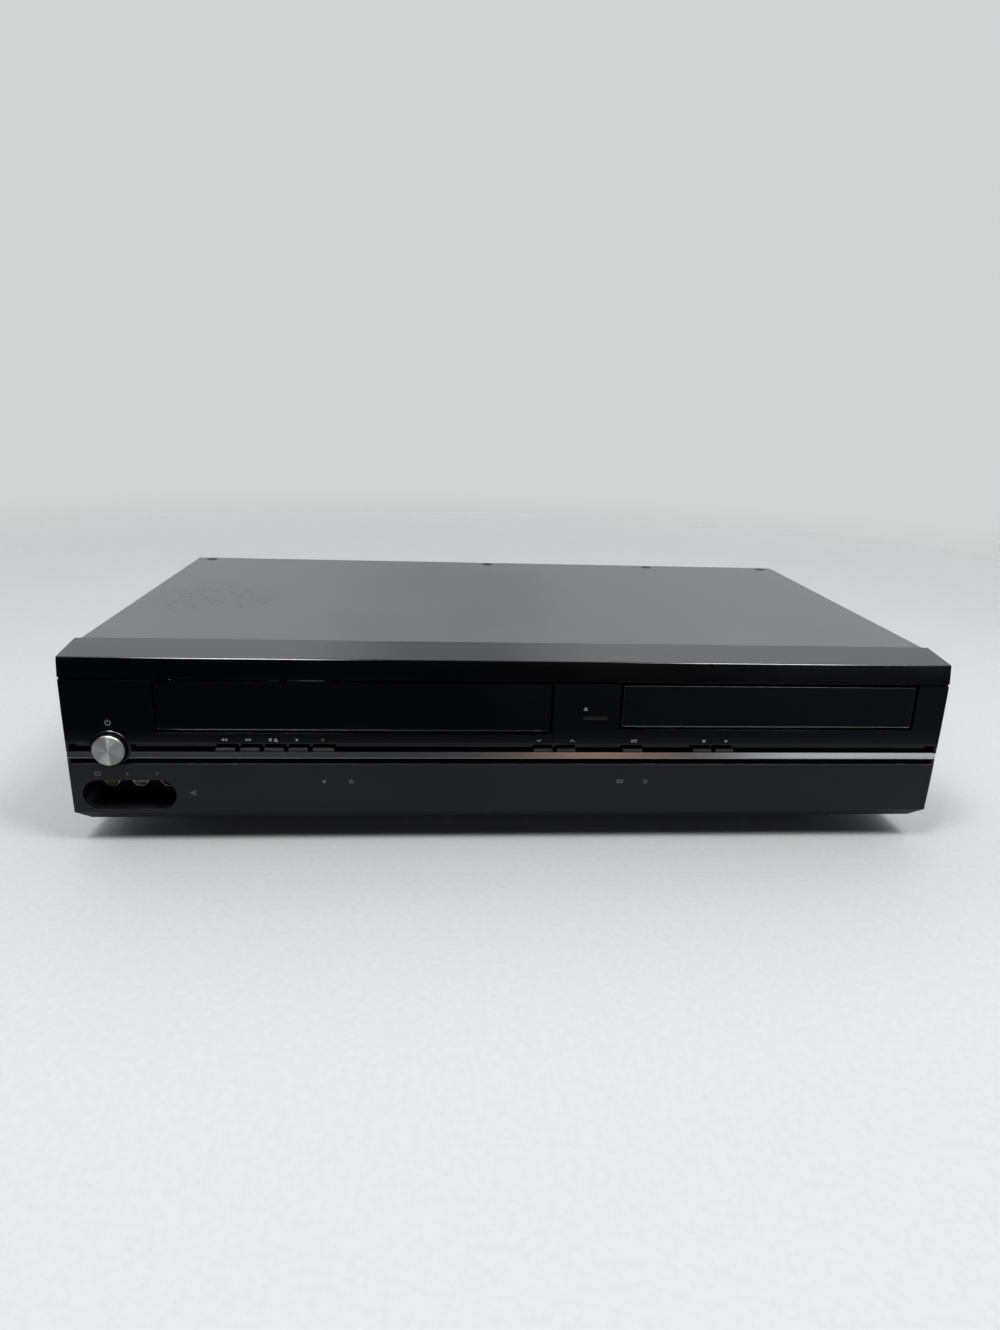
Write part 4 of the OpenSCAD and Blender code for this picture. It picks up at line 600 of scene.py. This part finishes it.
left_mark = stroke([(0.5, -0.8), (-0.5, 0), (0.5, 0.8)], LINE)
right_mark = stroke([(-0.5, -0.8), (0.5, 0), (-0.5, 0.8)], LINE)
print("lines", LINE, "mm wide, a circle of", len(record_mark[0]), "sides")


# %% Lay the marks on the fascia
INK_LIFT, INK_DEEP = 0.06 * MM, 0.05 * MM


def printed(name, places, surface, finish):
    """Marks as thin plates: the outline at the surface's depth plus a lift, and walls back to the skin."""
    points, faces, count = [], [], 0
    for outlines, x, z in places:
        for outline in outlines:
            px, pz = x + outline[:, 0] * MM, z + outline[:, 1] * MM
            front = surface(pz) - INK_LIFT
            n = len(outline)
            points.append(np.stack([px, front, pz], -1))
            points.append(np.stack([px, front + INK_DEEP, pz], -1))
            ring = np.arange(n)
            after = (ring + 1) % n
            area = np.sum(px * np.roll(pz, -1) - np.roll(px, -1) * pz)
            order = ring if area > 0 else ring[::-1]
            faces.append(list(count + order))
            faces.append(list(count + n + order[::-1]))
            a, b = (ring, after) if area > 0 else (after, ring)
            faces += np.stack([count + a, count + n + a, count + n + b, count + b], -1).tolist()
            count += 2 * n
    return put_mesh(name, np.vstack(points), faces, finish, "case", smooth=False)


MARK_Z = FACE_BOTTOM + 1.5 * MM
ARROW_ASIDE = 2.5 * MM
EJECT_ASIDE, EJECT_UP = -5 * MM, 4.6 * MM
STANDBY_UP = 13.2 * MM
open_x, open_z = middle("open_close_button").x, middle("open_close_button").z
face_marks = [(mark, middle(button + "_button").x + shift, MARK_Z) for mark, button, shift in (
    (rewind_mark, "rewind", 0), (forward_mark, "fast_forward", 0), (stop_eject_mark, "stop_eject", 0),
    (play_mark, "play", 0), (down_mark, "channel_down", -ARROW_ASIDE), (up_mark, "channel_up", ARROW_ASIDE),
    (swap_mark, "source", 0), (stop_mark, "disc_stop", 0), (play_mark, "disc_play", 0))]
face_marks += [(eject_mark, open_x + EJECT_ASIDE, open_z + EJECT_UP),
               (standby_mark, cap_x, cap_z + STANDBY_UP)]
pale_ink = ink("pale_screen_ink", "#86888c", "#8e9094")
grey_ink = ink("grey_screen_ink", "#66686d", "#6e7075")
red_ink = ink("red_screen_ink", "#551e26", "#5c222a")
printed("face_print", face_marks, face_y, pale_ink)
printed("record_print", [(record_mark, middle("record_button").x, MARK_Z)], face_y, red_ink)

PANEL_MARK_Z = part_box("lower_panel")[1].z - 9.6 * MM
RECORD_X, CLOCK_X, TAPE_X, DISC_X = -0.0961, -0.0829, 0.0525, 0.0656
RECESS_X = -HALF_WIDTH + 27.3 * MM
RECESS_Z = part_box("lower_panel")[0].z + 14.2 * MM
JACK_PITCH, JACK_MARK_UP = 14 * MM, 11.6 * MM
INPUT_ASIDE, INPUT_UP = 30.5 * MM, 1 * MM
panel_marks = [
    (record_mark, RECORD_X, PANEL_MARK_Z), (clock_mark, CLOCK_X, PANEL_MARK_Z),
    (tape_mark, TAPE_X, PANEL_MARK_Z), (disc_mark, DISC_X, PANEL_MARK_Z),
    (screen_mark, RECESS_X - JACK_PITCH, RECESS_Z + JACK_MARK_UP),
    (left_mark, RECESS_X, RECESS_Z + JACK_MARK_UP),
    (right_mark, RECESS_X + JACK_PITCH, RECESS_Z + JACK_MARK_UP),
    (input_mark, RECESS_X + INPUT_ASIDE, RECESS_Z + INPUT_UP),
]
printed("panel_print", panel_marks, panel_y, grey_ink)
print("printed", len(face_marks) + 1 + len(panel_marks), "marks")

# %% [markdown]
# ## Door window and rims
# The tape door carries a smoked window that stands just proud of its skin, and both doors end in a
# rounded bead that picks up a thin line of light. A bead is a thin round bar carried along a path, half
# sunk in the skin. The window is a plate whose edges fall away over a tenth of a millimetre.

# %% Window plate
SINK = 0.05 * MM


def window_plate(name, x0, x1, z0, z1, rise, edge, finish, body):
    """A plate on the sloping face: its height rises at each edge to full height as a quarter sine.

    The rows run up the front and down the flat back, so that they close; the two sides get end faces.
    """
    ramp = np.sin(np.linspace(0, np.pi / 2, 6))
    inset = np.concatenate([[0], 1 - np.cos(np.linspace(0, np.pi / 2, 6))[1:]])
    u = np.concatenate([x0 + edge * inset, x1 - edge * inset[::-1]])
    v = np.concatenate([z0 + edge * inset, z1 - edge * inset[::-1]])
    lift = np.concatenate([ramp, ramp[::-1]])
    height = np.minimum(lift[:, None], lift[None, :]) * rise
    z = np.broadcast_to(v[:, None], height.shape)
    x = np.broadcast_to(u[None, :], height.shape)
    front = np.stack([x, face_y(z) + SINK - height, z], -1)
    back = np.stack([x, face_y(z) + 2 * SINK, z], -1)[::-1]
    rows, columns = 2 * len(v), len(u)
    faces = grid_faces(rows, columns, wrap_rows=True).tolist()
    side = np.arange(rows) * columns
    faces += [side, side[::-1] + columns - 1]
    return put_mesh(name, np.vstack([front, back]), faces, finish, body)


# The door's box also holds the pins at its ends, so its skin starts one cheek inside the box. The skin
# ends a small gap under the top of the face.
DOOR_CHEEK, DOOR_TOP_GAP = 3.2 * MM, 0.5 * MM
WINDOW_SIDE, WINDOW_FOOT, WINDOW_HEAD = 4.3 * MM, 0.9 * MM, 0.3 * MM
WINDOW_RISE, WINDOW_EDGE = 0.06 * MM, 0.1 * MM
door_low, door_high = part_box("cassette_door")
door_left, door_right = door_low.x + DOOR_CHEEK, door_high.x - DOOR_CHEEK
smoked = moulded("smoked_acrylic", "#020305", "#040507", 0.04, 0.8, 0.001, 0.02, 0.015)
window = window_plate("door_window", door_left + WINDOW_SIDE, door_right - WINDOW_SIDE,
                      door_low.z + WINDOW_FOOT, FACE_TOP - DOOR_TOP_GAP - WINDOW_HEAD, WINDOW_RISE,
                      WINDOW_EDGE, smoked, "door")
print("window", [round(v / MM, 1) for v in (window.dimensions.x, window.dimensions.z)], "mm")


# %% Beads
def bead(name, path, radius, finish, body, closed):
    """A round section swept along a path on the face: its centre lies just under the skin."""
    path = np.asarray(path, float)
    ahead = np.roll(path, -1, 0) - path if closed else np.gradient(path, axis=0)
    behind = np.roll(ahead, 1, 0) if closed else ahead
    unit = ahead / np.linalg.norm(ahead, axis=1, keepdims=True)
    unit = unit + behind / np.linalg.norm(behind, axis=1, keepdims=True)
    unit /= np.linalg.norm(unit, axis=1, keepdims=True)
    across = np.stack([-unit[:, 1], unit[:, 0]], -1)
    turn = np.linspace(0, 2 * np.pi, 12, endpoint=False)
    x = path[:, 0, None] + across[:, 0, None] * radius * np.cos(turn)
    z = path[:, 1, None] + across[:, 1, None] * radius * np.cos(turn)
    y = face_y(path[:, 1])[:, None] + SINK - radius * np.sin(turn)
    faces = grid_faces(len(path), len(turn), wrap_columns=True, wrap_rows=closed).tolist()
    if not closed:
        faces += end_faces(len(path), len(turn))
    return put_mesh(name, np.stack([x, y, z], -1), faces, finish, body)


def rounded_loop(x0, x1, z0, z1, radius, steps=6):
    """A rectangle with round corners as a closed path, anticlockwise seen from the front."""
    corners = [(x1 - radius, z0 + radius, -90), (x1 - radius, z1 - radius, 0),
               (x0 + radius, z1 - radius, 90), (x0 + radius, z0 + radius, 180)]
    return np.vstack([arc(x, z, radius, a, a + 90, steps) for x, z, a in corners])


BEAD, TRAY_CORNER, LIP_ROWS = 0.16 * MM, 0.6 * MM, 24
tray_low, tray_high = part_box("disc_tray_door")
bead_black = moulded("bead_black_abs", "#08090b", "#0b0c0e", 0.34, 0.4, 0.004, 0.05)
tray_path = rounded_loop(tray_low.x + BEAD, tray_high.x - BEAD, tray_low.z + BEAD, tray_high.z - BEAD,
                         TRAY_CORNER)
tray_bead = bead("tray_door_bead", tray_path, BEAD, bead_black, "tray", True)
lip_path = np.stack([np.linspace(door_left + BEAD, door_right - BEAD, LIP_ROWS),
                     np.full(LIP_ROWS, door_low.z + BEAD)], -1)
door_bead = bead("cassette_door_bead", lip_path, BEAD, bead_black, "door", False)
print("beads", len(tray_bead.data.vertices), len(door_bead.data.vertices), "points")

# %% [markdown]
# ## Threads of the aerial sockets
# The aerial plugs screw on, so the barrels carry a fine thread of 32 turns to the inch. The thread is a
# tube whose radius swings between root and crest as a rounded sawtooth wave of the angle plus the
# distance along the axis, which makes one continuous helix.

# %% Threaded sleeves
THREAD_PITCH = 25.4 / 32 * MM
THREAD_DEEP, THREAD_WALL, THREAD_LIFT = 0.28 * MM, 0.2 * MM, 0.02 * MM
ROWS_A_TURN, STEPS_ROUND = 10, 40
CREST = 0.96  # 1 would give a sharp wave; a little less rounds its crests and roots


def thread_sleeve(name, x, z, radius, y0, y1, finish):
    """r = radius + depth times a rounded triangle wave of (distance / pitch + angle / full turn)."""
    rows = int((y1 - y0) / THREAD_PITCH * ROWS_A_TURN)
    y = np.linspace(y0, y1, rows)
    angle = np.linspace(0, 2 * np.pi, STEPS_ROUND, endpoint=False)
    phase = (y[:, None] - y0) / THREAD_PITCH + angle[None, :] / (2 * np.pi)
    wave = np.arccos(CREST * np.cos(2 * np.pi * phase)) / np.pi
    ends = np.clip(np.minimum(y - y0, y1 - y) / THREAD_PITCH, 0, 1)[:, None]
    r = radius + THREAD_LIFT + THREAD_DEEP * wave * ends
    r = np.vstack([r, np.full((2, STEPS_ROUND), radius - THREAD_WALL)])
    y = np.broadcast_to(np.append(y, [y1, y0])[:, None], r.shape)
    points = np.stack([x + r * np.cos(angle), y, z + r * np.sin(angle)], -1)
    faces = grid_faces(rows + 2, STEPS_ROUND, wrap_columns=True, wrap_rows=True)
    return put_mesh(name, points, faces[:, ::-1], finish, "case")


AERIAL_R = 4.76 * MM
AERIAL_HEIGHTS = {"lower": 18 * MM, "upper": 40 * MM}
THREAD_STARTS, THREAD_ENDS = 7.2 * MM, 0.3 * MM
aerial_x = middle("antenna_block").x
aerial_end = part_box("antenna_block")[1].y
case_base_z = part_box("lower_panel")[0].z
thread_metal = plated("threaded_barrel_nickel", "#b9b6ae", "#c8c5bd", 0.25)
for label, height in AERIAL_HEIGHTS.items():
    thread_sleeve("aerial_thread_" + label, aerial_x, case_base_z + height, AERIAL_R,
                  aerial_end - THREAD_STARTS, aerial_end - THREAD_ENDS, thread_metal)
print("thread pitch", round(THREAD_PITCH / MM, 3), "mm")

# %% [markdown]
# ## Floor, light and surroundings
# Dark glossy plastic shows its surroundings more than itself, so the room is built from tones by
# direction. The wall behind the case is pale and gives the cover its broad sheen. Bright tubes over the
# front are seen only in reflections and draw the thin line along the nose. The far side of the room
# runs from a dark corner to a bright window, and the trim strip shows that run from left to right. Two
# softboxes in front, above left and right, light the pale floor. Rays that come from a reflection see
# the floor in painted tones: a painted shade near the case, and a short way in front of it, as at the
# edge of a shelf, a painted dim room that lightens to the right. This keeps the face black.

# %% Floor
SHELF_EDGE, SHELF_BLUR = depth(-0.143), 0.03
SHADE_FROM, SHADE_TO = -0.05, 0.22
FADE_FROM, FADE_TO = 0.5, 1.6
FLOOR_SIZE = 8.0


def pale_floor():
    """Matt laminate. The eye sees it fade away; reflections see painted shade and a painted room past its
    edge.
    """
    made, tree, shader, place = start_material("pale_laminate", Roughness=0.6, Specular_IOR_Level=0.1)
    split = add(tree, "SeparateXYZ", {"Vector": place})
    ray = add(tree, "LightPath")
    grit = add(tree, "TexNoise", {"Vector": place, "Scale": per_metre(3), "Detail": 3.0})
    pale = add(tree, "ValToRGB", {"Fac": (grit, "Fac")}, [(NOISE_LOW, "#c2c3c3"), (NOISE_HIGH, "#c6c7c7")])
    # Reflections see painted tones: a painted shade near the case, and past the edge a painted dim room
    # that lightens to the right.
    past = add(tree, "MapRange", {"Value": (split, "Y"), "From Min": SHELF_EDGE + SHELF_BLUR,
                                  "From Max": SHELF_EDGE - SHELF_BLUR})
    across = add(tree, "MapRange", {"Value": (split, "X"), "From Min": SHADE_FROM, "From Max": SHADE_TO})
    painted_room_tone = add(tree, "ValToRGB", {"Fac": (across, "Result")}, [(0.0, "#07080b"), (1.0, "#33363f")])
    painted_reflected_floor = add(tree, "MixRGB", {"Fac": (past, "Result"), "Color1": linear("#86888d"),
                                    "Color2": (painted_room_tone, "Color")})
    tone = add(tree, "MixRGB", {"Fac": (ray, "Is Glossy Ray"), "Color1": (pale, "Color"),
                                "Color2": (painted_reflected_floor, "Color")})
    connect(tree, shader, {"Base Color": (tone, "Color")})
    reach = add(tree, "VectorMath", {0: place}, operation="LENGTH")
    fade = add(tree, "MapRange", {"Value": (reach, "Value"), "From Min": FADE_FROM, "From Max": FADE_TO},
               interpolation_type="SMOOTHSTEP")
    seen = add(tree, "Math", {0: (fade, "Result"), 1: (ray, "Is Camera Ray")}, operation="MULTIPLY")
    clear = add(tree, "BsdfTransparent")
    mixed = add(tree, "MixShader", {"Fac": (seen, "Value"), 1: (shader, "BSDF"), 2: (clear, "BSDF")})
    connect(tree, tree.nodes["Material Output"], {"Surface": (mixed, "Shader")})
    return made


floor_points = np.array([(-1, -1, 0), (1, -1, 0), (1, 1, 0), (-1, 1, 0)], float) * FLOOR_SIZE / 2
floor_mesh = bpy.data.meshes.new("floor")
floor_mesh.from_pydata(floor_points.tolist(), [], [(0, 1, 2, 3)])
floor_mesh.materials.append(pale_floor())
floor = bpy.data.objects.new("floor", floor_mesh)
bpy.context.scene.collection.objects.link(floor)
print("floor", FLOOR_SIZE, "m wide, shelf edge at y =", round(SHELF_EDGE, 3))


# %% Lamps
def soft_lamp(name, place, target, width, height, watts):
    """A rectangular area lamp that faces its target."""
    data = bpy.data.lights.new(name, "AREA")
    data.shape = "RECTANGLE"
    data.size, data.size_y, data.energy = width, height, watts
    lamp = bpy.data.objects.new(name, data)
    lamp.location = place
    lamp.rotation_mode = "QUATERNION"
    lamp.rotation_quaternion = (Vector(target) - Vector(place)).to_track_quat("-Z", "Y")
    bpy.context.scene.collection.objects.link(lamp)
    print(name, watts, "W,", width, "by", height, "m")


soft_lamp("left_softbox", (-0.42, -0.5, 1.3), (-0.05, -0.1, 0), width=0.32, height=0.5, watts=9)
soft_lamp("right_softbox", (0.64, -0.5, 1.3), (0.05, -0.1, 0), width=0.36, height=0.5, watts=10)

# %% [markdown]
# ## The world as tones by direction
# In a world shader the Generated output is the direction of the ray as a unit vector, with X to the
# right, Y away from the camera and Z up. Each tone sets in over a short range of one of the three, so a
# Map Range node makes every edge soft. The ranges are named first and the tones are mixed after that.

# %% World: the wall behind and the room in front
BEHIND = (-0.35, 0.35)
CEILING = (0.12, 0.3)
GROUND = (0.041, 0.025)
WALL_CENTRE, WALL_EDGES = 0.02, (0.05, 0.18)
WALL_RISE, WALL_GAIN = (0.35, 0.6), 2.45
ROOM_STOPS = [(0.0, "#4c4d52"), (0.08, "#746c66"), (0.19, "#cfa68c"), (0.31, "#706a68"), (0.40, "#ffffff")]

world = bpy.data.worlds.new("room")
bpy.context.scene.world = world
world.use_nodes = True
room = world.node_tree
direction = add(room, "TexCoord")
split = add(room, "SeparateXYZ", {"Vector": (direction, "Generated")})
across = add(room, "ValToRGB", {"Fac": (split, "X")}, ROOM_STOPS)
upward = add(room, "MapRange", {"Value": (split, "Z"), "From Min": CEILING[0], "From Max": CEILING[1]})
above = add(room, "MixRGB", {"Fac": (upward, "Result"), "Color1": (across, "Color"),
                             "Color2": linear("#262932")})
horizon = add(room, "MapRange", {"Value": (split, "Z"), "From Min": GROUND[0], "From Max": GROUND[1]})
facing = add(room, "MixRGB", {"Fac": (horizon, "Result"), "Color1": (above, "Color"),
                              "Color2": linear("#0a0b0e")})
off_wall = add(room, "Math", {0: (split, "X"), 1: WALL_CENTRE}, operation="SUBTRACT")
to_centre = add(room, "Math", {0: (off_wall, "Value")}, operation="ABSOLUTE")
bright = add(room, "MapRange", {"Value": (to_centre, "Value"), "From Min": WALL_EDGES[0],
                                "From Max": WALL_EDGES[1]})
wall = add(room, "MixRGB", {"Fac": (bright, "Result"), "Color1": linear("#a5a7ab"),
                            "Color2": linear("#d0d2d6")})
raised = add(room, "MapRange", {"Value": (split, "Z"), "From Min": WALL_RISE[0], "From Max": WALL_RISE[1],
                                "To Min": 1.0, "To Max": WALL_GAIN})
lit = add(room, "VectorMath", {0: (wall, "Color"), "Scale": (raised, "Result")}, operation="SCALE")
behind = add(room, "MapRange", {"Value": (split, "Y"), "From Min": BEHIND[0], "From Max": BEHIND[1]})
shade = add(room, "MixRGB", {"Fac": (behind, "Result"), "Color1": (facing, "Color"),
                             "Color2": (lit, "Vector")})
print("wall raised up to", WALL_GAIN, "times,", len(ROOM_STOPS), "tones across the room")

# %% World: tubes for reflections, and the plain background that the eye sees
TUBE_CENTRE, TUBE_INNER, TUBE_OUTER = 0.075, (0.19, 0.23), (0.42, 0.37)
TUBE_OVERHEAD, TUBE_AHEAD, TUBE_GLOW = (0.82, 0.88), (0.0, -0.06), 24.0

ray = add(room, "LightPath")
off_tubes = add(room, "Math", {0: (split, "X"), 1: TUBE_CENTRE}, operation="SUBTRACT")
to_tube = add(room, "Math", {0: (off_tubes, "Value")}, operation="ABSOLUTE")
glow = (ray, "Is Glossy Ray")
for value, (start, end), most in (((to_tube, "Value"), TUBE_INNER, 1), ((to_tube, "Value"), TUBE_OUTER, 1),
                                  ((split, "Z"), TUBE_OVERHEAD, 1), ((split, "Y"), TUBE_AHEAD, TUBE_GLOW)):
    inside = add(room, "MapRange", {"Value": value, "From Min": start, "From Max": end, "To Max": most})
    glow = (add(room, "Math", {0: glow, 1: (inside, "Result")}, operation="MULTIPLY"), "Value")
tubes = add(room, "VectorMath", {0: (shade, "Color"), 1: glow}, operation="ADD")
view = add(room, "MixRGB", {"Fac": (ray, "Is Camera Ray"), "Color1": (tubes, "Vector"),
                            "Color2": linear("#d2d4d3")})
connect(room, room.nodes["Background"], {"Color": (view, "Color")})
bpy.context.scene.view_settings.view_transform = "Standard"
print("lamps and world set, tubes at", TUBE_GLOW, "times white")
